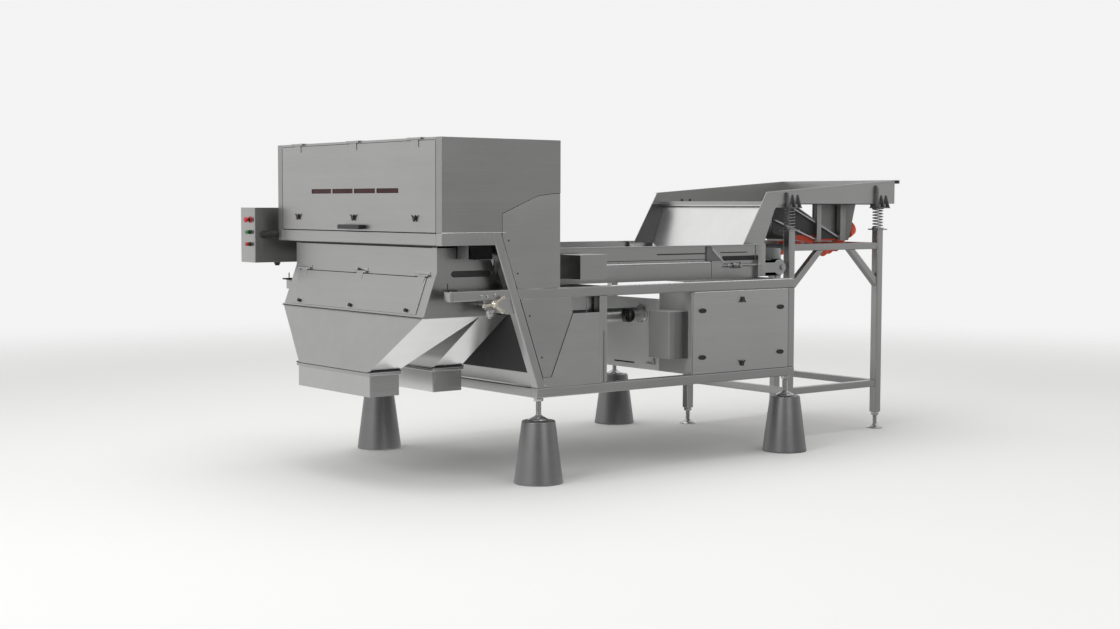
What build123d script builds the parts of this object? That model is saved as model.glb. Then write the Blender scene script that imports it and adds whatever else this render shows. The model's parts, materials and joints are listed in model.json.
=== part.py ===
from build123d import *

import os
from math import atan2, cos, degrees, hypot, radians, sin

os.makedirs("parts", exist_ok=True)

# Layout in millimetres: +X runs from the discharge end to the feeder, +Y from the near side to the far side
head_front = -1722.0
frame_near = -861.0
frame_width = 1560.0
frame_far = frame_near + frame_width
frame_middle = frame_near + frame_width / 2
sides = (-1, 1)

# Sections and clearances
tube = 50.0
tube_corner = 4.0
sheet = 3.0
seam = 2.0
shaft_gap = 0.06

# Main frame heights and stations
base_bottom = 423.0
base_top = base_bottom + tube
mid_rail_bottom = 910.0
mid_rail_top = mid_rail_bottom + tube
head_rail_bottom = 1172.0
head_rail_top = 1232.0
head_top = 1678.0
head_depth = 700.0
frame_front = head_front + 556.0
frame_rear = head_front + 2354.0
mid_rail_front = head_front + 63.0
upright_x = head_front + 977.0
rear_upright_x = frame_rear - tube / 2
head_cross_rear_x = head_front + head_depth - sheet - tube / 2
mid_cross_front_x = head_front + 700.0
rail_lines = (frame_near + tube / 2, frame_far - tube / 2)

# Raked front posts
post_foot_x = head_front + 558.0
rake = 250.0 / 700.0
post_depth = tube * hypot(1.0, rake)

# Discharge hood and chutes
hood_near = frame_near + 112.0
hood_width = frame_width - 224.0
hood_far = hood_near + hood_width
hood_face_x = head_front + 47.0
hood_top = 1160.0
hood_bend_z = 1048.0
lip_x = head_front - 33.0
lip_z = 829.0
hood_rear_offset = 27.0
chute_divide_x = head_front + 294.0
chute_rear_x = head_front + 457.0
chute_gap = 3.0
spout_width = 690.0
spout_depth = 167.0
accept_spout_x = head_front - 126.0
reject_spout_x = head_front + 244.0
spout_top = 560.0
spout_bottom = 436.0

# Splitter between the two product streams
splitter_x = head_front + 285.0
splitter_z = 893.0
splitter_shaft = 10.0
splitter_blade = 110.0

# Doors, latches and hinges
hinge_spots = (frame_middle - 558.0, frame_middle, frame_middle + 558.0)
hinge_pin = 3.0
hinge_knuckle = 6.0
hinge_half = 30.0
hinge_reach = 60.0
latch_z = 1300.0
latch_shaft = 5.0

# Conveyor
conveyor_near = frame_near + 250.0
conveyor_far = frame_far - 250.0
conveyor_front = head_front + 480.0
conveyor_rear = head_front + 2300.0
conveyor_plate = 4.0
conveyor_top = 1146.0
drum_z = 1012.0
drum_radius = 45.0
drum_shaft = 15.0
belt_width = 1000.0
belt_thickness = 4.0
belt_gap = 0.3
drive_drum_x = head_front + 560.0
tail_drum_x = head_front + 2515.0

# Electrical cabinet
cabinet_front = head_front + 1590.0
cabinet_rear = frame_rear - tube - seam
cabinet_depth = 265.0
lock_x = (head_front + 1655.0, head_front + 2240.0)
lock_z = (562.0, 809.0)
lock_spots = [(x, z) for x in lock_x for z in lock_z]
cabinet_latch_x = head_front + 1947.0
cabinet_latch_z = (518.0, 858.0)

# Control box on the far side
box_front = head_front - 100.0
box_length = 300.0
box_near = frame_far + 81.0
box_width = 159.0
box_bottom = 1050.0
box_top = 1346.0
box_button_y = box_near + 50.0

# Vibrating feeder
feeder_posts_x = (head_front + 2673.0, head_front + 3445.0)
feeder_posts_y = (frame_near + 353.0, frame_far - 353.0)
feeder_rail = 40.0
feeder_post_bottom = 100.0
feeder_post_top = 1216.0
spring_base = feeder_post_top + 8.0
spring_seat = 1348.0
tray_near = frame_near + 310.0
tray_far = frame_far - 310.0
tray_wall = 5.0
tray_floor = 1385.0
tray_wall_bottom = 1375.0
tray_knee = (head_front + 2441.0, 1440.0)
tray_rear = (head_front + 3546.0, 1520.0)
tray_end = head_front + 3577.0
slide_front_low = (head_front + 2253.0, 1136.0)
slide_top_x = head_front + 2502.0
slide_toe = (head_front + 2385.0, 1076.0)


def side_view(y):
    # Sketch plane seen from the near side: x is X and y is Z, an extrusion goes towards the near side
    return Plane.XZ.offset(-y)


def front_view(x):
    # Sketch plane across the machine: x is Y and y is Z, an extrusion goes towards the feeder
    return Plane.YZ.offset(x)


def end_view(x, y, z):
    # Round-section plane for something that runs along the machine: an extrusion goes towards the feeder
    return Plane(origin=(x, y, z), x_dir=(0, 1, 0), z_dir=(1, 0, 0))


def post_front(z):
    return post_foot_x - (z - base_top) * rake


def post_rear(z):
    return post_front(z) + post_depth


def pin_section(radius, sides=12):
    # Facetted section of a small round pin, stud or cap
    RegularPolygon(radius, sides)


def hole_section(radius, mode=Mode.ADD):
    # Matching facetted hole that the pin turns in freely
    RegularPolygon(radius + shaft_gap, 12, major_radius=False, mode=mode)


def save(piece, name):
    piece.label = name
    export_step(piece, f"parts/{name}.step")


# Main frame

with BuildPart() as side_rails:
    for inner_y in (frame_near + tube, frame_far):
        with BuildSketch(side_view(inner_y)):
            Polygon(
                (frame_front, base_bottom), (frame_rear, base_bottom),
                (frame_rear, base_top), (frame_front, base_top), align=None,
            )
            Polygon(
                (mid_rail_front, mid_rail_bottom), (post_front(mid_rail_bottom), mid_rail_bottom),
                (post_front(mid_rail_top), mid_rail_top), (mid_rail_front, mid_rail_top), align=None,
            )
            Polygon(
                (post_rear(mid_rail_bottom), mid_rail_bottom), (frame_rear, mid_rail_bottom),
                (frame_rear, mid_rail_top), (post_rear(mid_rail_top), mid_rail_top), align=None,
            )
            Polygon(
                (head_front, head_rail_bottom), (post_front(head_rail_bottom), head_rail_bottom),
                (post_front(head_rail_top), head_rail_top), (head_front, head_rail_top), align=None,
            )
        extrude(amount=tube)
    for inner_y in (frame_near + tube, frame_far - seam - sheet):
        with BuildSketch(side_view(inner_y)):
            Polygon(
                (post_rear(head_rail_bottom), head_rail_bottom),
                (head_cross_rear_x + tube / 2, head_rail_bottom),
                (head_cross_rear_x + tube / 2, head_rail_top),
                (post_rear(head_rail_top), head_rail_top), align=None,
            )
        extrude(amount=tube - seam - sheet)
    chamfer(side_rails.edges().filter_by(Axis.X), tube_corner)
save(side_rails.part, "side_rails")

with BuildPart() as cross_tubes:
    with BuildSketch(side_view(frame_far - tube)) as section:
        with Locations(
            (frame_front + tube / 2, base_bottom + tube / 2),
            (upright_x, base_bottom + tube / 2),
            (rear_upright_x, base_bottom + tube / 2),
            (mid_cross_front_x, mid_rail_bottom + tube / 2),
            (upright_x, mid_rail_bottom + tube / 2),
            (rear_upright_x, mid_rail_bottom + tube / 2),
        ):
            Rectangle(tube, tube)
        with Locations(
            (head_front + tube / 2, (head_rail_bottom + head_rail_top) / 2),
            (head_cross_rear_x, (head_rail_bottom + head_rail_top) / 2),
        ):
            Rectangle(tube, head_rail_top - head_rail_bottom)
        chamfer(section.vertices(), tube_corner)
    extrude(amount=frame_width - 2 * tube)
    camera_beam = (head_front + 400.0, 1570.0)
    with BuildSketch(side_view(frame_far - sheet)):
        with Locations(camera_beam):
            Rectangle(60, 60)
    extrude(amount=frame_width - 2 * sheet)
save(cross_tubes.part, "cross_tubes")

with BuildPart() as raked_posts:
    for inner_y in (frame_near + tube, frame_far):
        with BuildSketch(side_view(inner_y)):
            Polygon(
                (post_front(base_top), base_top), (post_rear(base_top), base_top),
                (post_rear(head_rail_top), head_rail_top), (post_front(head_rail_top), head_rail_top),
                align=None,
            )
        extrude(amount=tube)
    chamfer(raked_posts.edges().filter_by(lambda edge: edge.length > 5 * tube), tube_corner)
save(raked_posts.part, "raked_posts")

with BuildPart() as uprights:
    with BuildSketch(Plane.XY.offset(base_top)) as section:
        with Locations(*[(x, y) for x in (upright_x, rear_upright_x) for y in rail_lines]):
            Rectangle(tube, tube)
        chamfer(section.vertices(), tube_corner)
    extrude(amount=mid_rail_bottom - base_top)
    head_upright = 40.0
    with BuildSketch(Plane.XY.offset(mid_rail_top)):
        with Locations(*[(head_cross_rear_x, y) for y in rail_lines]):
            Rectangle(head_upright, head_upright)
    extrude(amount=head_rail_bottom - mid_rail_top)
save(uprights.part, "uprights")

# Sheet panels that close the frame: lower side panels, splitter bearing plates, front shield, bay panel
cover_low_z = 524.0
cover_low_x = head_front + 645.0
window_sill = 830.0
window_left = head_front + 778.0
shield_offset = 33.0
shield_top = 985.0
shield_knee = 535.0
shield_foot = base_top + 5.0
cabinet_gap = 2.0
cabinet_back = frame_near + sheet + cabinet_gap + cabinet_depth
bay_panel_top = 861.0
bay_slot = (170.0, 8.0)
bay_slot_place = (frame_near + 558.0, 503.0)
bearing_plate = 8.0
bearing_plate_inset = 10.0
backing = 20.0
backing_low = cover_low_z - backing / 2

with BuildPart() as frame_plates:
    for outer_y in (frame_near + sheet, frame_far):
        with BuildSketch(side_view(outer_y)):
            Polygon(
                (post_rear(base_top), base_top), (upright_x - tube / 2, base_top),
                (upright_x - tube / 2, window_sill), (window_left + 1, window_sill),
                (cover_low_x + 1, cover_low_z - seam), (post_rear(cover_low_z - seam), cover_low_z - seam),
                align=None,
            )
        extrude(amount=sheet)
    for inner_y in (frame_near + 2 * sheet, frame_far - sheet):
        with BuildSketch(side_view(inner_y)):
            Polygon(
                (post_rear(mid_rail_bottom), mid_rail_bottom), (post_rear(backing_low), backing_low),
                (cover_low_x + backing / 2, backing_low), (window_left + backing / 2, window_sill),
                (window_left - backing / 2, window_sill), (cover_low_x - backing / 2, backing_low + backing),
                (post_rear(backing_low + backing) + backing, backing_low + backing),
                (post_rear(mid_rail_bottom) + backing, mid_rail_bottom), align=None,
            )
        extrude(amount=sheet)
    for inner_y in (frame_near + bearing_plate_inset + bearing_plate, frame_far - bearing_plate_inset):
        with BuildSketch(side_view(inner_y)):
            Polygon(
                (splitter_x - 40, mid_rail_bottom), (post_front(mid_rail_bottom), mid_rail_bottom),
                (post_front(840), 840), (post_front(840) - 45, 840),
                (splitter_x - 28, splitter_z - 28), align=None,
            )
            with Locations((splitter_x, splitter_z)):
                hole_section(splitter_shaft, Mode.SUBTRACT)
        extrude(amount=bearing_plate)
    with BuildSketch(side_view(frame_far - tube)):
        with BuildLine():
            Polyline(
                (post_front(shield_top) + shield_offset, shield_top),
                (post_front(shield_knee) + shield_offset, shield_knee),
                (post_front(shield_knee) + shield_offset, shield_foot),
            )
        trace(line_width=sheet)
    extrude(amount=frame_width - 2 * tube)
    with BuildSketch(front_view(cabinet_front)):
        Polygon(
            (cabinet_back, base_top), (frame_far - sheet, base_top),
            (frame_far - sheet, bay_panel_top), (cabinet_back, bay_panel_top), align=None,
        )
        with Locations(bay_slot_place):
            Rectangle(*bay_slot, mode=Mode.SUBTRACT)
    extrude(amount=sheet)
save(frame_plates.part, "frame_plates")

# Optical head casing
cover_corner = (head_front + 349.0, 1321.0)
cover_shoulder = (head_front + 557.0, 1405.0)
cover_crest = (head_front + 653.0, 1418.0)
stile = 50.0
roof_lip = 9.0
head_rear = head_front + head_depth

with BuildPart() as head_side_plates:
    for outer_y in (frame_near + sheet, frame_far):
        with BuildSketch(side_view(outer_y)):
            Polygon(
                (head_front, head_rail_top), (cover_corner[0] - seam, head_rail_top),
                (cover_corner[0] - seam, cover_corner[1] + seam),
                (cover_shoulder[0], cover_shoulder[1] + seam), (cover_crest[0], cover_crest[1] + seam),
                (head_rear, cover_crest[1] + seam), (head_rear, head_top - sheet),
                (head_front, head_top - sheet), align=None,
            )
        extrude(amount=sheet)
    for stile_y in (frame_near + stile / 2, frame_far - stile / 2):
        with BuildSketch(front_view(head_front)):
            with Locations((stile_y, (head_rail_top + head_top - sheet) / 2)):
                Rectangle(stile, head_top - sheet - head_rail_top)
        extrude(amount=sheet)
save(head_side_plates.part, "head_side_plates")

with BuildPart() as head_roof:
    with BuildSketch(Plane.XY.offset(head_top - sheet)):
        with Locations(((head_front + head_rear) / 2, frame_middle)):
            Rectangle(head_depth, frame_width)
    extrude(amount=sheet)
    with BuildSketch(front_view(head_front)):
        with Locations((frame_middle, head_top - sheet - roof_lip / 2)):
            Rectangle(frame_width - 2 * stile, roof_lip)
    extrude(amount=sheet)
save(head_roof.part, "head_roof")

with BuildPart() as head_covers:
    for outer_y in (frame_near + sheet, frame_far):
        with BuildSketch(side_view(outer_y)):
            Polygon(
                (post_rear(mid_rail_top) + seam, mid_rail_top),
                (cover_corner[0], base_top + (post_rear(base_top) + seam - cover_corner[0]) / rake),
                cover_corner, cover_shoulder, cover_crest,
                (head_rear - seam, cover_crest[1]), (head_rear - seam, mid_rail_top), align=None,
            )
            Polygon(
                (post_rear(mid_rail_bottom) + seam, mid_rail_bottom),
                (post_rear(cover_low_z) + seam, cover_low_z), (cover_low_x - 1, cover_low_z),
                (window_left - 1, window_sill + seam), (window_left - 11, mid_rail_bottom), align=None,
            )
        extrude(amount=sheet)
    with BuildSketch(front_view(head_rear - sheet)):
        with Locations((frame_middle, (head_rail_bottom + head_top - sheet) / 2)):
            Rectangle(frame_width - 2 * (sheet + 1), head_top - sheet - head_rail_bottom)
    extrude(amount=sheet)
save(head_covers.part, "head_covers")

# Optics inside the head
camera_pitch = 340.0
camera_body = 70.0
camera_height = 120.0
lens_radius = 24.0
lens_length = 45.0
beam_bottom = camera_beam[1] - 30.0

with BuildPart() as cameras:
    with BuildSketch(Plane.XY.offset(beam_bottom - camera_height)):
        with Locations((camera_beam[0], frame_middle)):
            with GridLocations(camera_pitch, camera_pitch, 1, 4):
                Rectangle(camera_body, camera_body)
    extrude(amount=camera_height)
    with BuildSketch(Plane.XY.offset(beam_bottom - camera_height - lens_length)):
        with Locations((camera_beam[0], frame_middle)):
            with GridLocations(camera_pitch, camera_pitch, 1, 4):
                pin_section(lens_radius)
    extrude(amount=lens_length)
save(cameras.part, "cameras")

with BuildPart() as lamp_bars:
    with BuildSketch(side_view(frame_far - sheet)) as section:
        with Locations((head_front + 190.0, 1275.0), (head_front + 540.0, 1275.0)):
            Rectangle(76, 44)
        chamfer(section.vertices(), 12)
    extrude(amount=frame_width - 2 * sheet)
save(lamp_bars.part, "lamp_bars")

ejector_inset = 20.0
with BuildPart() as ejector_bar:
    with BuildSketch(side_view(frame_far - ejector_inset)):
        Polygon(
            (head_front + 165, head_rail_bottom), (head_front + 195, head_rail_bottom - 67),
            (head_front + 304, head_rail_bottom - 67), (head_front + 304, head_rail_bottom), align=None,
        )
    extrude(amount=frame_width - 2 * ejector_inset)
save(ejector_bar.part, "ejector_bar")

# Discharge hood
hood_slope = hypot(hood_face_x - lip_x, hood_bend_z - lip_z)
hood_normal = (-(hood_bend_z - lip_z) / hood_slope, 0, (hood_face_x - lip_x) / hood_slope)
hood_face = Plane(origin=(hood_face_x, frame_middle, hood_bend_z), x_dir=(0, 1, 0), z_dir=hood_normal)
inner_lip_x = lip_x + sheet / abs(hood_normal[0])
flap_top = 32.0
hem_height = 11.0
flap_bottom = hood_slope - hem_height - 6.0
flap_width = 1200.0
flap_axis = 22.0
flap_axis_height = 6.5
knob_row = hood_slope - 34.0
knob_spots = (-513.0, 0.0, 513.0)
knob_shaft = 5.0
slot_centre = (head_front + 245.0, 1035.0)


def hood_wall_rear(z):
    return post_front(z) + hood_rear_offset


with BuildPart() as hood_walls:
    for inner_y in (hood_near + sheet, hood_far):
        with BuildSketch(side_view(inner_y)):
            Polygon(
                (hood_face_x + sheet, hood_top), (head_front + 160, hood_top),
                (head_front + 160, head_rail_bottom - 72),
                (hood_wall_rear(head_rail_bottom - 72), head_rail_bottom - 72),
                (hood_wall_rear(lip_z), lip_z), (inner_lip_x, lip_z),
                (hood_face_x + sheet, hood_bend_z - 0.5), align=None,
            )
            with Locations(slot_centre):
                Polygon(
                    (-117, -6), (-103, -15), (103, -15), (117, -6),
                    (117, 6), (103, 15), (-103, 15), (-117, 6), align=None, mode=Mode.SUBTRACT,
                )
            with Locations((splitter_x, splitter_z)):
                hole_section(splitter_shaft + 2, Mode.SUBTRACT)
        extrude(amount=sheet)
save(hood_walls.part, "hood_walls")

with BuildPart() as hood_front:
    with BuildSketch(side_view(hood_far)):
        Polygon(
            (hood_face_x, hood_top), (hood_face_x, hood_bend_z), (lip_x, lip_z),
            (inner_lip_x, lip_z), (hood_face_x + sheet, hood_bend_z - 0.5),
            (hood_face_x + sheet, hood_top), align=None,
        )
    extrude(amount=hood_width)
    with BuildSketch(hood_face):
        with Locations((0, hood_slope - hem_height / 2)):
            Rectangle(hood_width, hem_height)
    extrude(amount=8)
    with BuildSketch(side_view(hood_far)):
        with Locations((hood_face_x + sheet / 2, (hood_top + head_rail_bottom) / 2)):
            Rectangle(sheet, head_rail_bottom - hood_top)
    extrude(amount=40)
    with BuildSketch(side_view(hood_near + 40)):
        with Locations((hood_face_x + sheet / 2, (hood_top + head_rail_bottom) / 2)):
            Rectangle(sheet, head_rail_bottom - hood_top)
    extrude(amount=40)
    with BuildSketch(hood_face):
        with Locations((0, (flap_top + knob_row) / 2)):
            Rectangle(flap_width - 100, knob_row - flap_top - 50)
    extrude(amount=-3 * sheet, mode=Mode.SUBTRACT)
    with BuildSketch(hood_face):
        with Locations(*[(x, knob_row) for x in knob_spots]):
            hole_section(knob_shaft + 3)
    extrude(amount=-3 * sheet, mode=Mode.SUBTRACT)
save(hood_front.part, "hood_front")


def funnel_body(top_front, top_rear, spout_front, inset):
    # Hopper shape that is the common part of its side outline and its front outline
    spout_rear = spout_front + spout_depth
    with BuildPart() as body:
        with BuildSketch(side_view(hood_far)):
            Polygon(
                (top_front + inset, lip_z), (top_rear - inset, lip_z), (spout_rear - inset, spout_top),
                (spout_rear - inset, spout_bottom), (spout_front + inset, spout_bottom),
                (spout_front + inset, spout_top), align=None,
            )
        extrude(amount=hood_width)
        half_top = hood_width / 2 - inset
        half_low = spout_width / 2 - inset
        with BuildSketch(front_view(head_front - 2 * spout_depth)):
            with Locations((frame_middle, 0)):
                Polygon(
                    (-half_top, lip_z), (-half_low, spout_top), (-half_low, spout_bottom),
                    (half_low, spout_bottom), (half_low, spout_top), (half_top, lip_z), align=None,
                )
        extrude(amount=head_depth + 2 * spout_depth, mode=Mode.INTERSECT)
    return body.part


def funnel(name, top_front, top_rear, spout_front, divider_top):
    # Tapered sheet funnel with a flanged spout, and an upright divider behind the mouth where it has one
    with BuildPart() as chute:
        add(funnel_body(top_front, top_rear, spout_front, 0.0))
        with BuildSketch(Plane.XY.offset(spout_top - 14)):
            with Locations((spout_front + spout_depth / 2, frame_middle)):
                Rectangle(spout_depth + 14, spout_width + 14)
        extrude(amount=14)
        add(funnel_body(top_front, top_rear, spout_front, sheet), mode=Mode.SUBTRACT)
        if divider_top > lip_z:
            with BuildSketch(side_view(hood_far - sheet)):
                with Locations((top_rear - sheet / 2, (lip_z - sheet + divider_top) / 2)):
                    Rectangle(sheet, divider_top - lip_z + sheet)
            extrude(amount=hood_width - 2 * sheet)
    save(chute.part, name)


funnel("accept_chute", lip_x, chute_divide_x, accept_spout_x, splitter_z - splitter_shaft - 3)
funnel("reject_chute", chute_divide_x + chute_gap, chute_rear_x, reject_spout_x, lip_z)

# Splitter blade on its shaft, with the star handle outside the near rail
shaft_near = frame_near - 14.0
shaft_far = frame_far - 4.0
star_thickness = 14.0
star_arms = (30.0, 185.0, 323.0)

with BuildPart() as splitter:
    with BuildSketch(side_view(shaft_far)):
        with Locations((splitter_x, splitter_z)):
            pin_section(splitter_shaft)
    extrude(amount=shaft_far - shaft_near)
    with BuildSketch(side_view(hood_far - sheet - seam)):
        with BuildLine():
            Polyline(
                (splitter_x - 4, splitter_z), (splitter_x + 4, splitter_z),
                (splitter_x + 1, splitter_z + splitter_blade), (splitter_x - 1, splitter_z + splitter_blade),
                (splitter_x - 4, splitter_z),
            )
        make_face()
    extrude(amount=hood_width - 2 * sheet - 2 * seam)
save(splitter.part, "splitter_blade")

with BuildPart() as star_handle:
    with BuildSketch(side_view(shaft_near)):
        with Locations((splitter_x, splitter_z)):
            RegularPolygon(17, 12)
            for arm in star_arms:
                with PolarLocations(36, 1, start_angle=arm):
                    Polygon((-28, -5), (34, -9), (38, 0), (34, 9), (-28, 5), align=None)
    extrude(amount=star_thickness)
    with BuildSketch(side_view(shaft_near - star_thickness)):
        with Locations((splitter_x, splitter_z)):
            RegularPolygon(13, 12)
    extrude(amount=9, taper=20)
save(star_handle.part, "star_handle")

# Conveyor
ledge_front = head_front + 720.0
ledge_rear = head_front + 1930.0
ledge_depth = 25.0
ledge_top = 1053.0

with BuildPart() as conveyor_sides:
    for web_y, ledge_y in (
        (conveyor_near + conveyor_plate, conveyor_near),
        (conveyor_far, conveyor_far + ledge_depth),
    ):
        with BuildSketch(side_view(web_y)):
            Polygon(
                (conveyor_front, mid_rail_top), (conveyor_rear, mid_rail_top),
                (conveyor_rear, conveyor_top), (conveyor_front, conveyor_top), align=None,
            )
            with Locations((drive_drum_x, drum_z)):
                hole_section(drum_shaft + 5, Mode.SUBTRACT)
        extrude(amount=conveyor_plate)
        with BuildSketch(side_view(ledge_y)):
            Polygon(
                (ledge_front, mid_rail_top), (ledge_rear, mid_rail_top),
                (ledge_rear, ledge_top), (ledge_front, ledge_top), align=None,
            )
        extrude(amount=ledge_depth)
    for rim_y in (conveyor_near + conveyor_plate, conveyor_far + 18):
        with BuildSketch(side_view(rim_y)):
            Polygon(
                (conveyor_front, conveyor_top - 4), (conveyor_rear, conveyor_top - 4),
                (conveyor_rear, conveyor_top), (conveyor_front, conveyor_top), align=None,
            )
        extrude(amount=18 + conveyor_plate)
save(conveyor_sides.part, "conveyor_sides")

belt_top_inside = drum_z + drum_radius + belt_gap
bed_front = drive_drum_x + 60.0
bed_rear = tail_drum_x - 60.0
bed_bar_x = (head_front + 760.0, head_front + 1330.0, head_front + 1900.0)

with BuildPart() as slider_bed:
    with BuildSketch(Plane.XY.offset(belt_top_inside - belt_gap - sheet)):
        with Locations(((bed_front + bed_rear) / 2, frame_middle)):
            Rectangle(bed_rear - bed_front, belt_width - 10)
    extrude(amount=sheet)
    with BuildSketch(side_view(conveyor_far - conveyor_plate)):
        with Locations(*[(x, belt_top_inside - belt_gap - sheet - 20) for x in bed_bar_x]):
            Rectangle(30, 40)
    extrude(amount=conveyor_far - conveyor_near - 2 * conveyor_plate)
save(slider_bed.part, "slider_bed")

with BuildPart() as conveyor_belt:
    with BuildSketch(side_view(frame_middle + belt_width / 2)):
        with Locations(((drive_drum_x + tail_drum_x) / 2, drum_z)):
            span = tail_drum_x - drive_drum_x
            SlotCenterToCenter(span, 2 * (drum_radius + belt_gap + belt_thickness))
            SlotCenterToCenter(span, 2 * (drum_radius + belt_gap), mode=Mode.SUBTRACT)
    extrude(amount=belt_width)
save(conveyor_belt.part, "conveyor_belt")


def drum(name, x, shaft_overhang):
    # Belt drum with stepped end shafts
    half = belt_width / 2 + 5
    with BuildPart() as roll:
        with BuildSketch(side_view(frame_middle + half)):
            with Locations((x, drum_z)):
                pin_section(drum_radius, 28)
        extrude(amount=2 * half)
        with BuildSketch(side_view(frame_middle + half + shaft_overhang)):
            with Locations((x, drum_z)):
                pin_section(drum_shaft)
        extrude(amount=2 * (half + shaft_overhang))
    save(roll.part, name)


drum("drive_drum", drive_drum_x, 70.0)
drum("tail_drum", tail_drum_x, 30.0)

bearing_side = 84.0
bearing_depth = 26.0
arm_thickness = 8.0
arm_front = head_front + 2060.0
arm_low = 984.0
arm_high = 1040.0
take_up_z = 1032.0
take_up_block = (head_front + 1933.0, head_front + 2009.0)
take_up_end = head_front + 2292.0
take_up_half = 12.5

with BuildPart() as drum_bearings:
    for block_y in (conveyor_near, conveyor_far + bearing_depth):
        with BuildSketch(side_view(block_y)):
            with Locations((drive_drum_x, drum_z)):
                RegularPolygon(bearing_side / 2, 8, major_radius=False, rotation=22.5)
                hole_section(drum_shaft, Mode.SUBTRACT)
        extrude(amount=bearing_depth)
    for arm_y in (conveyor_near + conveyor_plate + arm_thickness, conveyor_far - conveyor_plate):
        with BuildSketch(side_view(arm_y)):
            Polygon(
                (arm_front, arm_low), (tail_drum_x + 12, arm_low), (tail_drum_x + 28, drum_z - 12),
                (tail_drum_x + 28, drum_z + 12), (tail_drum_x + 12, arm_high), (arm_front, arm_high),
                align=None,
            )
            with Locations((tail_drum_x, drum_z)):
                hole_section(drum_shaft, Mode.SUBTRACT)
        extrude(amount=arm_thickness)
    for outer_y, line_y in (
        (conveyor_near, conveyor_near - take_up_half),
        (conveyor_far + 2 * take_up_half, conveyor_far + take_up_half),
    ):
        with BuildSketch(side_view(outer_y)):
            Polygon(
                (take_up_block[0], mid_rail_top), (take_up_block[1], mid_rail_top),
                (take_up_block[1], 1058), (take_up_block[0], 1058), align=None,
            )
            Polygon(
                (take_up_end, mid_rail_top), (take_up_end + 8, mid_rail_top),
                (take_up_end + 8, 1085), (take_up_end, 1085), align=None,
            )
        extrude(amount=2 * take_up_half)
        with BuildSketch(end_view(take_up_block[1], line_y, take_up_z)):
            RegularPolygon(7, 8)
        extrude(amount=take_up_end + 36 - take_up_block[1])
        for nut_x in (take_up_block[1] + 52, take_up_end + 8):
            with BuildSketch(end_view(nut_x, line_y, take_up_z)):
                RegularPolygon(12, 6)
            extrude(amount=11)
save(drum_bearings.part, "drum_bearings")

drive_cover_front = head_front + 868.0
drive_cover_rear = head_front + 1040.0
drive_cover_near = frame_near + 52.0
drive_cover_low = 990.0
drive_cover_high = 1116.0

with BuildPart() as drive_cover:
    with BuildSketch(side_view(conveyor_near - ledge_depth)):
        Polygon(
            (drive_cover_front, drive_cover_low), (drive_cover_rear, drive_cover_low),
            (drive_cover_rear, drive_cover_high), (drive_cover_front, drive_cover_high), align=None,
        )
    extrude(amount=conveyor_near - ledge_depth - drive_cover_near)
    chamfer(drive_cover.edges().filter_by(Axis.Y), 3)
save(drive_cover.part, "drive_cover")

# Electrical cabinet with a lift-off cover
with BuildPart() as cabinet_shell:
    with BuildSketch(side_view(cabinet_back)):
        Polygon(
            (cabinet_front, base_top), (cabinet_rear, base_top),
            (cabinet_rear, mid_rail_bottom), (cabinet_front, mid_rail_bottom), align=None,
        )
    extrude(amount=cabinet_depth)
    offset(amount=-sheet, openings=cabinet_shell.faces().sort_by(Axis.Y)[0])
save(cabinet_shell.part, "cabinet_shell")

back_y = cabinet_back - sheet
cabinet_mid_x = (cabinet_front + cabinet_rear) / 2
cabinet_mid_z = (base_top + mid_rail_bottom) / 2

with BuildPart() as cabinet_backplate:
    with BuildSketch(side_view(back_y)):
        with Locations((cabinet_mid_x, cabinet_mid_z)):
            Rectangle(620, 380)
    extrude(amount=sheet)
    with BuildSketch(side_view(back_y - sheet)):
        with Locations((cabinet_mid_x - 40, cabinet_mid_z + 110)):
            with GridLocations(60, 60, 7, 1):
                Rectangle(54, 85)
        with Locations((cabinet_mid_x, cabinet_mid_z - 20)):
            Rectangle(540, 45)
        with Locations((cabinet_mid_x - 150, cabinet_mid_z - 115), (cabinet_mid_x + 90, cabinet_mid_z - 115)):
            Rectangle(190, 120)
    extrude(amount=70)
save(cabinet_backplate.part, "cabinet_backplate")

with BuildPart() as cabinet_door:
    with BuildSketch(side_view(frame_near + sheet)):
        Polygon(
            (cabinet_front, base_top + seam), (cabinet_rear, base_top + seam),
            (cabinet_rear, mid_rail_bottom - seam), (cabinet_front, mid_rail_bottom - seam), align=None,
        )
        with Locations(*lock_spots, *[(cabinet_latch_x, z) for z in cabinet_latch_z]):
            hole_section(latch_shaft, Mode.SUBTRACT)
    extrude(amount=sheet)
save(cabinet_door.part, "cabinet_door")


def wing_latch(name, face):
    # Two-winged quarter-turn latch: the wings stand off the outer face, a cam turns behind the sheet
    with BuildPart() as latch:
        with BuildSketch(face.offset(0.6)):
            RegularPolygon(11, 8)
            for lean in (62, 118):
                with PolarLocations(16, 1, start_angle=lean):
                    Polygon((-14, -4), (15, -8), (15, 8), (-14, 4), align=None)
        extrude(amount=13)
        with BuildSketch(face.offset(-13)):
            pin_section(latch_shaft)
        extrude(amount=14)
        with BuildSketch(face.offset(-13)):
            with Locations((0, -12)):
                Rectangle(14, 38)
        extrude(amount=5)
    save(latch.part, name)


def oval_lock(name, face):
    # Oval quarter-turn knob on a short shaft with a cam behind the sheet
    with BuildPart() as lock:
        with BuildSketch(face.offset(0.6)) as grip:
            Rectangle(46, 25)
            chamfer(grip.vertices(), 8, 11)
        extrude(amount=9)
        chamfer(lock.faces().sort_by(Axis.Y)[0].edges(), 2)
        with BuildSketch(face.offset(-13)):
            pin_section(latch_shaft)
        extrude(amount=14)
        with BuildSketch(face.offset(-13)):
            with Locations((10, 0)):
                Rectangle(36, 14)
        extrude(amount=5)
    save(lock.part, name)


for number, (x, z) in enumerate(lock_spots, start=1):
    oval_lock(f"cabinet_lock_{number}", Plane(origin=(x, frame_near, z), x_dir=(1, 0, 0), z_dir=(0, -1, 0)))

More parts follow.
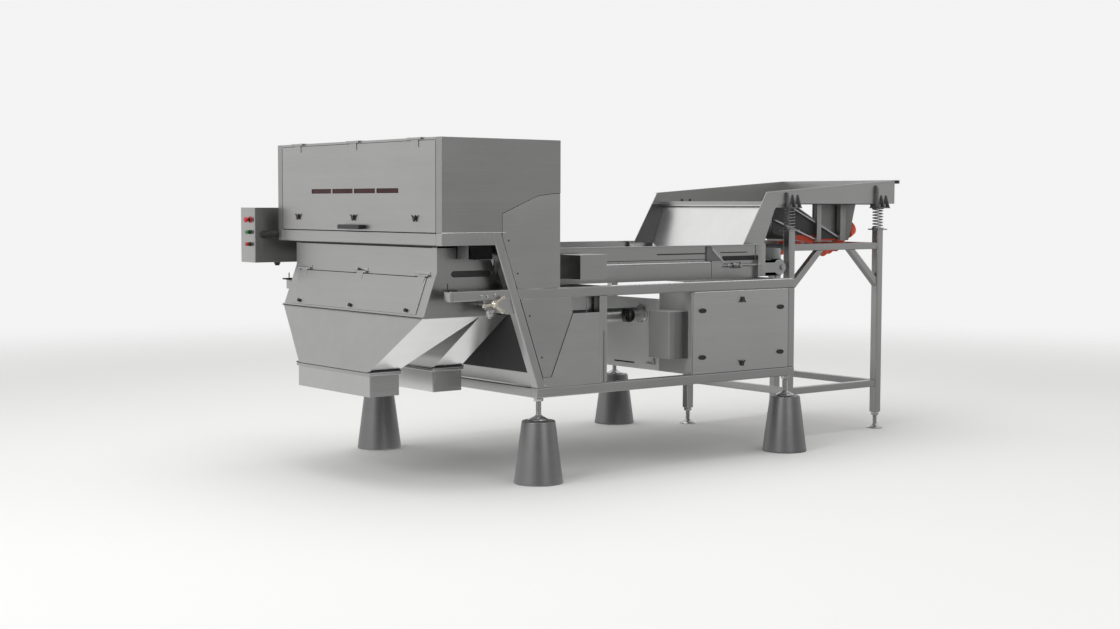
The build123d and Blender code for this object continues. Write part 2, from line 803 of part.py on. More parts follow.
for number, (z, up) in enumerate(zip(cabinet_latch_z, (1, -1)), start=1):
    wing_latch(
        f"cabinet_latch_{number}",
        Plane(origin=(cabinet_latch_x, frame_near, z), x_dir=(up, 0, 0), z_dir=(0, -1, 0)),
    )

# Cabinet cooler and the air duct in the open bay
cooler_front = head_front + 1472.0
cooler_near = frame_near + 41.0
cooler_far = frame_near + 239.0
cooler_low = 558.0
cooler_high = 807.0
duct_y = frame_near + 411.0
duct_z = 774.0
duct_radius = 38.0
duct_inlet = head_front + 720.0
flange_radius = 50.0
port_x = head_front + 1450.0
port_radius = 36.0
port_reach = duct_radius + 26.0

with BuildPart() as cooling_unit:
    with BuildSketch(Plane.XY.offset(cooler_low)):
        with Locations(((cooler_front + cabinet_front) / 2, (cooler_near + cooler_far) / 2)):
            Rectangle(cabinet_front - cooler_front, cooler_far - cooler_near)
    extrude(amount=cooler_high - cooler_low)
    fillet(cooling_unit.edges().filter_by(Axis.Z).group_by(Axis.X)[0], 32)
save(cooling_unit.part, "cooling_unit")

with BuildPart() as air_duct:
    with BuildSketch(end_view(duct_inlet, duct_y, duct_z)):
        pin_section(duct_radius, 20)
    extrude(amount=cabinet_front - duct_inlet)
    for flange_x in (duct_inlet, cabinet_front - 10):
        with BuildSketch(end_view(flange_x, duct_y, duct_z)):
            pin_section(flange_radius, 20)
        extrude(amount=10)
    with BuildSketch(end_view(duct_inlet, duct_y, duct_z)):
        pin_section(duct_radius - 3, 20)
    extrude(amount=port_x - duct_inlet - 45, mode=Mode.SUBTRACT)
    with BuildSketch(side_view(duct_y)):
        with Locations((port_x, duct_z)):
            pin_section(port_radius, 20)
    extrude(amount=port_reach)
    with BuildSketch(side_view(duct_y - 10)):
        with Locations((port_x, duct_z)):
            pin_section(port_radius - 4, 20)
    extrude(amount=port_reach, mode=Mode.SUBTRACT)
save(air_duct.part, "air_duct")

# Feet
foot_x = (head_front + 600.0, head_front + 2330.0)
foot_y = (frame_near + 45.0, frame_far - 45.0)
foot_spots = [(x, y) for x in foot_x for y in foot_y]
cone_height = 309.0
cone_base = 123.0
cone_top = 82.0

with BuildPart() as foot_cones:
    with BuildSketch(Plane.XY):
        with Locations(*foot_spots):
            pin_section(cone_base, 28)
    extrude(amount=cone_height, taper=degrees(atan2(cone_base - cone_top, cone_height)))
save(foot_cones.part, "foot_cones")

feeder_spots = [(x, y) for x in feeder_posts_x for y in feeder_posts_y]
pad_radius = 50.0
pad_rise = 26.0
stud_radius = 14.0

with BuildPart() as levelling_feet:
    for spots, low, high in ((foot_spots, cone_height, base_bottom), (feeder_spots, 0.0, feeder_post_bottom)):
        with BuildSketch(Plane.XY.offset(low)):
            with Locations(*spots):
                pin_section(pad_radius, 16)
        extrude(amount=pad_rise, taper=50)
        with BuildSketch(Plane.XY.offset(low + pad_rise)):
            with Locations(*spots):
                pin_section(stud_radius, 10)
        extrude(amount=high - low - pad_rise)
        with BuildSketch(Plane.XY.offset(high - 20)):
            with Locations(*spots):
                RegularPolygon(24, 6)
        extrude(amount=20)
save(levelling_feet.part, "levelling_feet")

# Control box with its bracket, conduit and buttons
box_face = Plane(origin=(box_front, box_button_y, 0), x_dir=(0, -1, 0), z_dir=(-1, 0, 0))
stop_z = 1281.0
green_z = 1214.0
red_z = 1149.0
button_stem = 6.0
cap_radius = 14.0
collar_height = 8.0
collar_radius = 10.0
conduit_x = head_front + 32.0
conduit_box_x = head_front - 48.0
conduit_z = 1202.0
conduit_bend = 17.0

with BuildPart() as control_box:
    with BuildSketch(Plane.XY.offset(box_bottom)) as section:
        with Locations((box_front + box_length / 2, box_near + box_width / 2)):
            Rectangle(box_length, box_width)
        chamfer(section.vertices(), 4)
    extrude(amount=box_top - box_bottom)
    with BuildSketch(side_view(box_near)):
        with Locations((head_front + 140, (head_rail_bottom + head_rail_top) / 2)):
            Rectangle(70, 44)
    extrude(amount=box_near - frame_far)
    with BuildSketch(box_face):
        with Locations((0, stop_z), (0, green_z), (0, red_z)):
            pin_section(collar_radius)
    extrude(amount=collar_height)
    with BuildSketch(box_face.offset(collar_height)):
        with Locations((0, stop_z), (0, green_z), (0, red_z)):
            hole_section(button_stem)
    extrude(amount=-45, mode=Mode.SUBTRACT)
save(control_box.part, "control_box")

bend_start = Vector(conduit_x, frame_far + conduit_bend, conduit_z)
bend_end = Vector(conduit_box_x, box_near - conduit_bend, conduit_z)
bend_way = (bend_end - bend_start).normalized()

with BuildPart() as control_conduit:
    with BuildLine() as run:
        Polyline(
            (conduit_x, frame_far, conduit_z), bend_start, bend_end, (conduit_box_x, box_near, conduit_z)
        )
    with BuildSketch(Plane(origin=run.line @ 0, z_dir=run.line % 0)):
        pin_section(15)
    sweep(path=run.line, transition=Transition.RIGHT)
    for along in (10.0, 27.0, 44.0, 61.0, 78.0):
        with BuildSketch(Plane(origin=bend_start + bend_way * along, z_dir=bend_way)):
            pin_section(19)
        extrude(amount=6)
    for gland_x, gland_y, gland_length in ((conduit_box_x, box_near, 9.0), (conduit_x, frame_far + 12, 12.0)):
        with BuildSketch(side_view(gland_y)):
            with Locations((gland_x, conduit_z)):
                RegularPolygon(23, 6)
        extrude(amount=gland_length)
    with BuildSketch(Plane.XY.offset(box_bottom - 20)):
        with Locations((head_front + 67, box_near + 60)):
            RegularPolygon(17, 6)
    extrude(amount=20)
save(control_conduit.part, "control_conduit")

for name, z, head, lift in (
    ("e_stop", stop_z, 20.0, 7.0),
    ("green_button", green_z, cap_radius, 5.0),
    ("red_button", red_z, cap_radius, 5.0),
):
    with BuildPart() as push_button:
        with BuildSketch(box_face.offset(-25)):
            with Locations((0, z)):
                pin_section(button_stem)
        extrude(amount=25 + collar_height + lift)
        with BuildSketch(box_face.offset(collar_height + lift)):
            with Locations((0, z)):
                pin_section(head)
        extrude(amount=2 * lift)
        chamfer(push_button.faces().sort_by(Axis.X)[0].edges(), 0.2 * head)
    save(push_button.part, name)

# Vibrating feeder stand
post_half = tube / 2
upper_rail_z = 1100.0
lower_rail_z = 258.0
rail_middles = (lower_rail_z + feeder_rail / 2, upper_rail_z + feeder_rail / 2)

with BuildPart() as feeder_posts:
    with BuildSketch(Plane.XY.offset(feeder_post_bottom)) as section:
        with Locations(*feeder_spots):
            Rectangle(tube, tube)
        chamfer(section.vertices(), tube_corner)
    extrude(amount=feeder_post_top - feeder_post_bottom)
    with BuildSketch(Plane.XY.offset(feeder_post_top)):
        with Locations(*feeder_spots):
            Rectangle(84, 84)
    extrude(amount=spring_base - feeder_post_top)
save(feeder_posts.part, "feeder_posts")

with BuildPart() as feeder_rails:
    with BuildSketch(front_view(feeder_posts_x[0] + post_half)):
        with Locations(*[(y, z) for y in feeder_posts_y for z in rail_middles]):
            Rectangle(feeder_rail, feeder_rail)
    extrude(amount=feeder_posts_x[1] - feeder_posts_x[0] - tube)
    with BuildSketch(side_view(feeder_posts_y[1] - post_half)):
        with Locations(*[(x, z) for x in feeder_posts_x for z in rail_middles]):
            Rectangle(feeder_rail, feeder_rail)
    extrude(amount=feeder_posts_y[1] - feeder_posts_y[0] - tube)
save(feeder_rails.part, "feeder_rails")

brace_run = 250.0
brace_drop = 227.0
brace_foot = 55.0

with BuildPart() as feeder_braces:
    for y in feeder_posts_y:
        with BuildSketch(side_view(y + 18)):
            for post_x, way in zip(feeder_posts_x, (1, -1)):
                face_x = post_x + way * post_half
                Polygon(
                    (face_x, upper_rail_z - brace_drop), (face_x + way * brace_run, upper_rail_z),
                    (face_x + way * (brace_run - brace_foot), upper_rail_z),
                    (face_x, upper_rail_z - brace_drop + brace_foot), align=None,
                )
        extrude(amount=36)
save(feeder_braces.part, "feeder_braces")

# Sprung tray
spring_radius = 30.0
spring_wire = 4.0
spring_turns = 7
turn_steps = 7

coil_steps = turn_steps * spring_turns
coil_rise = (spring_seat - spring_base - 2.1 * spring_wire) / coil_steps

with BuildPart() as tray_springs:
    for x, y in feeder_spots:
        with BuildLine() as coil:
            Polyline(*[
                (
                    x + spring_radius * cos(radians(360 / turn_steps * step)),
                    y + spring_radius * sin(radians(360 / turn_steps * step)),
                    spring_base + spring_wire + coil_rise * step,
                )
                for step in range(coil_steps + 1)
            ])
        with BuildSketch(Plane(origin=coil.line @ 0, z_dir=coil.line % 0)):
            Rectangle(1.6 * spring_wire, 1.6 * spring_wire)
        sweep(path=coil.line, transition=Transition.RIGHT)
save(tray_springs.part, "tray_springs")

tray_rim = 12.0
tray_wall_outline = (
    slide_front_low, tray_knee, tray_rear, (tray_rear[0], tray_wall_bottom),
    (slide_top_x + 26, tray_wall_bottom), (slide_top_x, tray_wall_bottom - 42),
    (slide_top_x - 86, slide_front_low[1]),
)
skirt_y = (frame_near + 500.0, frame_far - 500.0)
skirt_x = (head_front + 3025.0, head_front + 3347.0)
skirt_low = 1152.0
skirt_lean = 65.0
floor_under = tray_floor - sheet / 2
cross_bar = (head_front + 2515.0, head_front + 2590.0)
end_lip = 22.0

with BuildPart() as tray_pan:
    for inner_y, rim_y in ((tray_near + tray_wall, tray_near), (tray_far, tray_far + tray_rim)):
        with BuildSketch(side_view(inner_y)):
            Polygon(*tray_wall_outline, align=None)
        extrude(amount=tray_wall)
        with BuildSketch(side_view(rim_y)):
            Polygon(
                (tray_knee[0], tray_knee[1] - tray_wall), (tray_rear[0], tray_rear[1] - tray_wall),
                tray_rear, tray_knee, align=None,
            )
        extrude(amount=tray_rim)
    with BuildSketch(side_view(tray_far - tray_wall)):
        with BuildLine():
            Polyline(
                (tray_rear[0] - sheet, tray_floor), (slide_top_x - 18, tray_floor),
                (slide_top_x - 18, tray_wall_bottom - 13), (slide_top_x, tray_wall_bottom - 13), slide_toe,
            )
        trace(line_width=sheet)
        Polygon(
            (cross_bar[0], spring_seat + 4), (cross_bar[1], spring_seat + 4),
            (cross_bar[1], floor_under), (cross_bar[0], floor_under), align=None,
        )
    extrude(amount=tray_far - tray_near - 2 * tray_wall)
    with BuildSketch(front_view(tray_rear[0] - sheet)):
        with Locations((frame_middle, (tray_wall_bottom + tray_rear[1]) / 2)):
            Rectangle(tray_far - tray_near, tray_rear[1] - tray_wall_bottom)
    extrude(amount=sheet)
    with BuildSketch(side_view(tray_far + tray_rim)):
        Polygon(
            (tray_rear[0], tray_rear[1] - tray_wall), (tray_end - tray_wall, tray_rear[1] - tray_wall),
            (tray_end - tray_wall, tray_rear[1] - end_lip), (tray_end, tray_rear[1] - end_lip),
            (tray_end, tray_rear[1]), tray_rear, align=None,
        )
    extrude(amount=tray_far - tray_near + 2 * tray_rim)
    for outer_y in (skirt_y[0] + sheet, skirt_y[1]):
        with BuildSketch(side_view(outer_y)):
            Polygon(
                (skirt_x[0], skirt_low), (skirt_x[1], skirt_low),
                (skirt_x[1] + skirt_lean, floor_under), (skirt_x[0], floor_under), align=None,
            )
        extrude(amount=sheet)
save(tray_pan.part, "tray_pan")

# Vibration motors hang under a plate that lies across the line of throw
motor_tilt = 30.0
motor_axis = (cos(radians(motor_tilt)), 0, sin(radians(motor_tilt)))
motor_centre = (head_front + 3332.0, 1152.0)
motor_spots = (frame_middle - 175.0, frame_middle + 175.0)
motor_radius = 45.0
motor_body = 190.0
motor_cap = 45.0
motor_plate = 12.0
motor_plate_gap = motor_radius + 6.0


def motor_view(y, along):
    # Section plane across the motor axis: x is Y and y points up from the axis to the plate
    centre = Plane(origin=(motor_centre[0], y, motor_centre[1]), x_dir=(0, 1, 0), z_dir=motor_axis)
    return centre.offset(along)


# Welded brackets under the tray: spring seats with gussets, skirt ribs, inclined webs and the motor plate
seat_length = 64.0
seat_depth = 70.0
gusset_reach = 30.0
gusset_sheet = 6.0
gusset_row = (-72.0, -22.0, 22.0)
gusset_low = spring_seat + gusset_sheet
gusset_top = 1426.0
spike_tops = (1438.0, 1485.0)
rib_depth = 38.0
rib_spots = ((skirt_x[0], skirt_x[0] + 37.0), (skirt_x[0] + 207.0, skirt_x[0] + 253.0))
web_sheet = 6.0
rim_depth = 22.0
rim_height = 7.0
web_front = head_front + 2677.0
upper_web = ((head_front + 2815.0, floor_under), (head_front + 3263.0, 1163.0))
lower_web = ((web_front, 1283.0), (head_front + 3035.0, 1163.0))

with BuildPart() as tray_brackets:
    for side, y, wall_y in zip(sides, feeder_posts_y, (tray_near, tray_far)):
        with BuildSketch(Plane.XY.offset(spring_seat)):
            with Locations(*[(x, y) for x in feeder_posts_x]):
                Rectangle(seat_length, seat_depth)
        extrude(amount=floor_under - spring_seat)
        edge_y = wall_y + side * gusset_reach
        for x, spike_top in zip(feeder_posts_x, spike_tops):
            with BuildSketch(Plane.XY.offset(spring_seat)):
                with Locations((x - 25, (edge_y + y) / 2)):
                    Rectangle(106, abs(edge_y - y))
            extrude(amount=gusset_sheet)
            for fin, top in zip(gusset_row, (spike_top, gusset_top, gusset_top)):
                with BuildSketch(front_view(x + fin - gusset_sheet / 2)):
                    Polygon(
                        (wall_y, gusset_low), (edge_y, gusset_low), (wall_y + side * 4, top), (wall_y, top),
                        align=None,
                    )
                extrude(amount=gusset_sheet)
    for web_y, rim_y, rib_y in (
        (skirt_y[0], skirt_y[0], skirt_y[0]),
        (skirt_y[1] + web_sheet, skirt_y[1] + rim_depth, skirt_y[1] + rib_depth),
    ):
        with BuildSketch(side_view(web_y)):
            Polygon(
                lower_web[0], lower_web[1], upper_web[1], upper_web[0], (web_front, floor_under), align=None
            )
            Polygon(
                lower_web[0], (web_front, 1202.0), (lower_web[1][0], 1130.0), lower_web[1], align=None
            )
        extrude(amount=web_sheet)
        with BuildSketch(side_view(rim_y)):
            for start, end in (upper_web, lower_web):
                Polygon(
                    start, end, (end[0], end[1] - rim_height), (start[0], start[1] - rim_height), align=None
                )
        extrude(amount=rim_depth)
        with BuildSketch(side_view(rib_y)):
            for rib_start, rib_end in rib_spots:
                Polygon(
                    (rib_start, skirt_low), (rib_end, skirt_low),
                    (rib_end, floor_under), (rib_start, floor_under), align=None,
                )
        extrude(amount=rib_depth)
    with BuildSketch(motor_view(frame_middle, -110)):
        with Locations((0, motor_plate_gap + motor_plate / 2)):
            Rectangle(skirt_y[1] - skirt_y[0] - 2 * sheet, motor_plate)
    extrude(amount=180)
save(tray_brackets.part, "tray_brackets")

with BuildPart() as vibration_motors:
    for y in motor_spots:
        with BuildSketch(motor_view(y, -motor_body / 2)):
            pin_section(motor_radius, 16)
        extrude(amount=motor_body)
        for cap_start in (-motor_body / 2 - motor_cap, motor_body / 2):
            with BuildSketch(motor_view(y, cap_start)):
                pin_section(motor_radius - 7, 16)
            extrude(amount=motor_cap)
        with BuildSketch(motor_view(y, -60)):
            with Locations((0, motor_plate_gap / 2 + 10)):
                Rectangle(100, motor_plate_gap - 20)
        extrude(amount=120)
        with BuildSketch(motor_view(y, -35)):
            with Locations((0, -motor_radius - 2)):
                Rectangle(56, 24)
        extrude(amount=70)
save(vibration_motors.part, "vibration_motors")

# Front door of the head, hung from the roof edge
door_low = head_rail_top + seam
door_high = head_top - sheet - roof_lip - seam
door_width = frame_width - 2 * (stile + seam)
door_return = 18.0
door_axis = (head_front - 6.5, head_top - 4.0)
window_size = (198.0, 24.0)
window_pitch = 211.0
window_z = 1431.0
leaf = 2.5

with BuildPart() as head_door:
    with BuildSketch(front_view(head_front)):
        with Locations((frame_middle, (door_low + door_high) / 2)):
            Rectangle(door_width, door_high - door_low)
    extrude(amount=sheet + door_return)
    offset(amount=-sheet, openings=head_door.faces().sort_by(Axis.X)[-1])
    with BuildSketch(front_view(head_front)):
        with Locations((frame_middle + 4.5, window_z)):
            with GridLocations(window_pitch, 1, 4, 1):
                Rectangle(*window_size)
        with Locations(*[(y, latch_z) for y in hinge_spots]):
            hole_section(latch_shaft)
    extrude(amount=sheet, mode=Mode.SUBTRACT)
    with BuildSketch(front_view(head_front - 0.5 - leaf)):
        with Locations(*[(y, (door_axis[1] + door_high - 30) / 2) for y in hinge_spots]):
            Rectangle(2 * hinge_half, door_axis[1] - door_high + 30)
    extrude(amount=leaf)
    with BuildSketch(front_view(head_front - 0.5)):
        with Locations(*[(y, door_high - 16) for y in hinge_spots]):
            Rectangle(2 * hinge_half, 26)
    extrude(amount=0.5)
    for y in hinge_spots:
        with BuildSketch(side_view(y + hinge_half)):
            with Locations(door_axis):
                RegularPolygon(hinge_knuckle, 8)
        extrude(amount=2 * hinge_half)
        with BuildSketch(side_view(y + hinge_half)):
            with Locations(door_axis):
                hole_section(hinge_pin)
        extrude(amount=2 * hinge_half, mode=Mode.SUBTRACT)
save(head_door.part, "head_door")

with BuildPart() as door_windows:
    with BuildSketch(front_view(head_front + sheet)):
        with Locations((frame_middle + 4.5, window_z)):
            with GridLocations(window_pitch, 1, 4, 1):
                Rectangle(window_size[0] + 8, window_size[1] + 8)
    extrude(amount=sheet)
save(door_windows.part, "door_windows")

handle_z = 1253.0
handle_half = 138.0
handle_reach = 34.0

with BuildPart() as door_handle:
    with BuildSketch(Plane.XY.offset(handle_z - 9)):
        with BuildLine():
            Polyline(
                (head_front, frame_middle - handle_half + 8),
                (head_front - handle_reach + 7, frame_middle - handle_half + 20),
                (head_front - handle_reach + 7, frame_middle + handle_half - 20),
                (head_front, frame_middle + handle_half - 8),
            )
        trace(line_width=14)
        with Locations((head_front + 10, frame_middle)):
            Rectangle(20, 4 * handle_half, mode=Mode.SUBTRACT)
    extrude(amount=18)
save(door_handle.part, "door_handle")

for number, y in enumerate(hinge_spots, start=1):
    wing_latch(
        f"door_latch_{number}",
        Plane(origin=(head_front, y, latch_z), x_dir=(0, -1, 0), z_dir=(-1, 0, 0)),
    )

# Inspection flap on the slanted face of the hood
flap_lift = 0.5
flap_face = hood_face.offset(flap_lift)
flap_spots = [y - frame_middle for y in hinge_spots]
flap_pin = hood_face.from_local_coords((0, flap_axis, flap_axis_height))

with BuildPart() as hood_flap:
    with BuildSketch(flap_face):
        with Locations((0, (flap_top + flap_bottom) / 2)):
            Rectangle(flap_width, flap_bottom - flap_top)
        with Locations(*[(x, knob_row) for x in knob_spots]):
            hole_section(knob_shaft, Mode.SUBTRACT)
    extrude(amount=sheet)
    with BuildSketch(flap_face.offset(sheet)):
        with Locations(*[(x, (flap_axis + flap_top + 26) / 2) for x in flap_spots]):
            Rectangle(2 * hinge_half, flap_top + 26 - flap_axis)
    extrude(amount=leaf)
    for y in hinge_spots:
        with BuildSketch(side_view(y + hinge_half)):
            with Locations((flap_pin.X, flap_pin.Z)):
                RegularPolygon(hinge_knuckle, 8)
        extrude(amount=2 * hinge_half)
        with BuildSketch(side_view(y + hinge_half)):
            with Locations((flap_pin.X, flap_pin.Z)):
                hole_section(hinge_pin)
        extrude(amount=2 * hinge_half, mode=Mode.SUBTRACT)
save(hood_flap.part, "hood_flap")

for number, x in enumerate(knob_spots, start=1):
    knob_seat = hood_face.from_local_coords((x, knob_row, flap_lift + sheet))
    knob_face = Plane(origin=knob_seat, x_dir=(0, 1, 0), z_dir=hood_normal)
    with BuildPart() as flap_knob:
        with BuildSketch(knob_face.offset(-12)):
            pin_section(knob_shaft)
        extrude(amount=14)
        with BuildSketch(knob_face.offset(0.6)):
            RegularPolygon(14, 8)
        extrude(amount=15)
        chamfer(flap_knob.faces().sort_by(Axis.X)[0].edges(), 2)
    save(flap_knob.part, f"flap_knob_{number}")

# Fixed hinge halves with their pins, for the door and for the flap
end_gap = 0.5
end_length = hinge_reach - hinge_half - end_gap
end_middle = hinge_reach - end_length / 2

with BuildPart() as hinge_pins:
    for y in hinge_spots:
        for centre in (door_axis, (flap_pin.X, flap_pin.Z)):
            with BuildSketch(side_view(y + hinge_reach)):
                with Locations(centre):
                    pin_section(hinge_pin)
            extrude(amount=2 * hinge_reach)
            for end_y in (y + hinge_reach, y - hinge_half - end_gap):
                with BuildSketch(side_view(end_y)):
                    with Locations(centre):
                        RegularPolygon(hinge_knuckle, 8)
                extrude(amount=end_length)
        with BuildSketch(Plane.XY.offset(head_top)):
            with Locations((head_front + 22, y)):
                Rectangle(40, 2 * hinge_reach)
            with Locations((head_front - 2, y + end_middle), (head_front - 2, y - end_middle)):
                Rectangle(10, end_length)
        extrude(amount=leaf)
        with BuildSketch(hood_face):
            with Locations((y - frame_middle, 8)):
                Rectangle(2 * hinge_reach, 12)
            with Locations((y + end_middle - frame_middle, 17), (y - end_middle - frame_middle, 17)):
                Rectangle(end_length, 10)
        extrude(amount=leaf)
save(hinge_pins.part, "hinge_pins")
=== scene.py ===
import json
from math import cos, pi, radians, sin

import bpy
from mathutils import Euler, Matrix, Vector


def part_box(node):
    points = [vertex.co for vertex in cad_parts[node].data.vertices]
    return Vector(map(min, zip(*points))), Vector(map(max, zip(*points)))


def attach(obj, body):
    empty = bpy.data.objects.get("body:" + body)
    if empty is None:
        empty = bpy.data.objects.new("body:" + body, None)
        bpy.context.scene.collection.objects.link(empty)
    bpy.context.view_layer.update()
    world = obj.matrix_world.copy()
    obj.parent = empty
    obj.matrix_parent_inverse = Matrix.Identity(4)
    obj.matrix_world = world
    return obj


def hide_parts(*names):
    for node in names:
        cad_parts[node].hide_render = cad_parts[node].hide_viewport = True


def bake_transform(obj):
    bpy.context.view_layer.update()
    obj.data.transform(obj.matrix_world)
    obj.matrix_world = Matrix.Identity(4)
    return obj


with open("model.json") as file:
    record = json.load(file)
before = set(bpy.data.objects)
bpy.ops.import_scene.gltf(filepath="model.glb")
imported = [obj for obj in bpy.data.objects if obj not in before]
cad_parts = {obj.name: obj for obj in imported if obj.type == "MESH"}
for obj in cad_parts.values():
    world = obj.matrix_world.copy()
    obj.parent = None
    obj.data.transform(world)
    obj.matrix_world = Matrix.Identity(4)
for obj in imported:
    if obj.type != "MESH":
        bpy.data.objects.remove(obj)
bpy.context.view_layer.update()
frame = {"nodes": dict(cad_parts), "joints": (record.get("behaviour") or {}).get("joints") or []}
nodes = frame["nodes"]
joints = {joint["name"]: joint for joint in frame["joints"]}
mm = 0.001
print("frame loaded:", len(nodes), "nodes")

# camera, floor and light
cameraSetup = {
    "place": (-5.943, -7.090, 1.366),
    "heading": 38.2945,  # degrees from +Y towards +X
    "dip": 3.878,
    "roll": 0.13,
    "lens": 52.14,
}
stageSetup = {
    "floorRadius": 11.0,
    "floorShade": (0.80, 0.80, 0.79),
    "fade": (4.5, 10.5),  # radii between which the floor melts into the backdrop
    "skyBright": 0.90,
    "skyDark": 0.26,  # the shaded wall of the room, on the right behind the camera
    "skyTop": 0.80,
    "topBand": (0.25, 0.9),  # where the walls turn into the ceiling
    "darkFrom": 0.7,  # radians to the right of the view
    "darkFull": 2.6,
    "darkBack": 2.2,  # radians to the left, where the shade ends behind the camera
    "underGlow": 0.85,  # what polished sheet sees of the floor in front of the discharge end
    "glowDrop": 0.45,
    "glowEnds": (-1.5, 0.6),  # x between which that glow drops
    "lampAim": (0, 0, 0.8),
}
lamps = {
    "topBox": {"place": (-0.4, 0.4, 5.8), "size": (6.0, 4.0), "power": 120.0},
    "frontBox": {"place": (-6.5, -1.5, 4.4), "size": (3.5, 3.0), "power": 110.0},
    "nearFill": {"place": (-1.0, -8.0, 3.4), "size": (4.0, 3.0), "power": 70.0},
}


def makeCamera():
    data = bpy.data.cameras.new("photoCamera")
    data.lens = cameraSetup["lens"]
    data.sensor_width = 36.0
    camera = bpy.data.objects.new("photoCamera", data)
    bpy.context.scene.collection.objects.link(camera)
    aim = Euler((radians(90 - cameraSetup["dip"]), 0, radians(-cameraSetup["heading"]))).to_matrix().to_4x4()
    turn = Matrix.Rotation(radians(cameraSetup["roll"]), 4, "Z")
    camera.matrix_world = Matrix.Translation(cameraSetup["place"]) @ aim @ turn
    bpy.context.scene.camera = camera


class Wire:  # a shader socket that joins in Python sums
    def __init__(self, tree, socket=None):
        self.tree = tree
        self.socket = socket

    def node(self, kind, settings=None, inputs=None, output=0):
        made = self.tree.nodes.new(kind)
        for key, value in (settings or {}).items():
            setattr(made, key, value)
        for key, value in (inputs or {}).items():
            self.feed(made.inputs[key], value)
        return Wire(self.tree, made.outputs[output])

    def feed(self, target, value):
        if isinstance(value, Wire):
            self.tree.links.new(value.socket, target)
        else:
            target.default_value = value

    def sum(self, operation, first, second):
        return self.node("ShaderNodeMath", {"operation": operation}, {0: first, 1: second})

    def __add__(self, other):
        return self.sum("ADD", self, other)

    def __radd__(self, other):
        return self.sum("ADD", other, self)

    def __rsub__(self, other):
        return self.sum("SUBTRACT", other, self)

    def __mul__(self, other):
        return self.sum("MULTIPLY", self, other)

    def __rmul__(self, other):
        return self.sum("MULTIPLY", other, self)

    def __abs__(self):
        return self.sum("ABSOLUTE", self, 0.0)

    def between(self, low, high):  # 0 below low, 1 above high, soft in between
        return self.node(
            "ShaderNodeMapRange", {"interpolation_type": "SMOOTHSTEP"},
            {"Value": self, "From Min": low, "From Max": high}, "Result",
        )

    def tint(self, first, second):  # colour that goes from first to second
        return self.node("ShaderNodeMix", {"data_type": "RGBA"}, {"Factor": self, 6: first, 7: second}, 2)

    def dot(self, way):
        return self.node("ShaderNodeVectorMath", {"operation": "DOT_PRODUCT"}, {0: self, 1: way}, "Value")

    def part(self, axis):  # one coordinate of a vector
        return self.node("ShaderNodeSeparateXYZ", None, {0: self}, axis)


def rgb(shade):
    return (*shade, 1.0)


def makeFloor():
    bpy.ops.object.select_all(action="DESELECT")
    bpy.ops.mesh.primitive_circle_add(vertices=96, radius=stageSetup["floorRadius"], fill_type="NGON")
    floor = bpy.context.object
    floor.name = "studioFloor"
    paint = bpy.data.materials.new("floorPaint")
    paint.use_nodes = True
    wire = Wire(paint.node_tree)
    matt = wire.node("ShaderNodeBsdfDiffuse", None, {"Color": rgb(stageSetup["floorShade"])})
    clear = wire.node("ShaderNodeBsdfTransparent")
    spot = wire.node("ShaderNodeTexCoord", output="Object")
    front = 1 - spot.part("X").between(*stageSetup["glowEnds"])
    drop = stageSetup["glowDrop"]
    strength = front * drop + (stageSetup["underGlow"] - drop)
    glow = wire.node("ShaderNodeEmission", None, {"Strength": strength})
    seen = wire.node("ShaderNodeLightPath", output="Is Glossy Ray")
    lit = wire.node("ShaderNodeMixShader", None, {0: seen, 1: matt, 2: glow})
    reach = wire.node("ShaderNodeVectorMath", {"operation": "LENGTH"}, {0: spot}, "Value")
    fade = reach.between(*stageSetup["fade"])
    mixed = wire.node("ShaderNodeMixShader", None, {0: fade, 1: lit, 2: clear})
    wire.feed(paint.node_tree.nodes["Material Output"].inputs["Surface"], mixed)
    floor.data.materials.append(paint)


def makeRoom():
    world = bpy.data.worlds.new("softRoom")
    world.use_nodes = True
    bpy.context.scene.world = world
    wire = Wire(world.node_tree)
    way = wire.node("ShaderNodeTexCoord", output="Generated")
    heading = radians(cameraSetup["heading"])
    ahead = way.dot((sin(heading), cos(heading), 0))
    right = way.dot((cos(heading), -sin(heading), 0))
    turn = right.sum("ARCTAN2", right, ahead)
    dark = turn.between(stageSetup["darkFrom"], stageSetup["darkFull"])
    dark = dark + (turn * -1).between(stageSetup["darkBack"], pi)
    wall = dark * (stageSetup["skyDark"] - stageSetup["skyBright"]) + stageSetup["skyBright"]
    high = way.part("Z").between(*stageSetup["topBand"])
    sky = wall + high * (stageSetup["skyTop"] - wall)
    wire.feed(world.node_tree.nodes["Background"].inputs["Color"], sky)


def makeLamps():
    for name, lamp in lamps.items():
        data = bpy.data.lights.new(name, "AREA")
        data.shape = "RECTANGLE"
        data.size, data.size_y = lamp["size"]
        data.energy = lamp["power"]
        light = bpy.data.objects.new(name, data)
        bpy.context.scene.collection.objects.link(light)
        light.location = lamp["place"]
        way = Vector(stageSetup["lampAim"]) - light.location
        light.rotation_euler = way.to_track_quat("-Z", "Y").to_euler()
    bpy.context.scene.view_settings.view_transform = "Standard"


makeCamera()
makeFloor()
makeRoom()
makeLamps()
print("camera, floor and lamps set")


# finishes
def newFinish(name):
    finish = bpy.data.materials.new(name)
    finish.use_nodes = True
    wire = Wire(finish.node_tree)
    return finish, wire, wire.node("ShaderNodeTexCoord", output="Object")


def coated(finish, wire, colour, rough, bump, metal=0.0, shine=0.5):
    sockets = {
        "Base Color": colour, "Roughness": rough, "Metallic": metal, "Normal": bump,
        "Specular IOR Level": shine,
    }
    for name, value in sockets.items():
        wire.feed(finish.node_tree.nodes["Principled BSDF"].inputs[name], value)
    return finish


def noise(place, scale, detail=3.0, rough=0.55):
    return place.node(
        "ShaderNodeTexNoise", None,
        {"Vector": place, "Scale": scale, "Detail": detail, "Roughness": rough}, "Fac",
    )


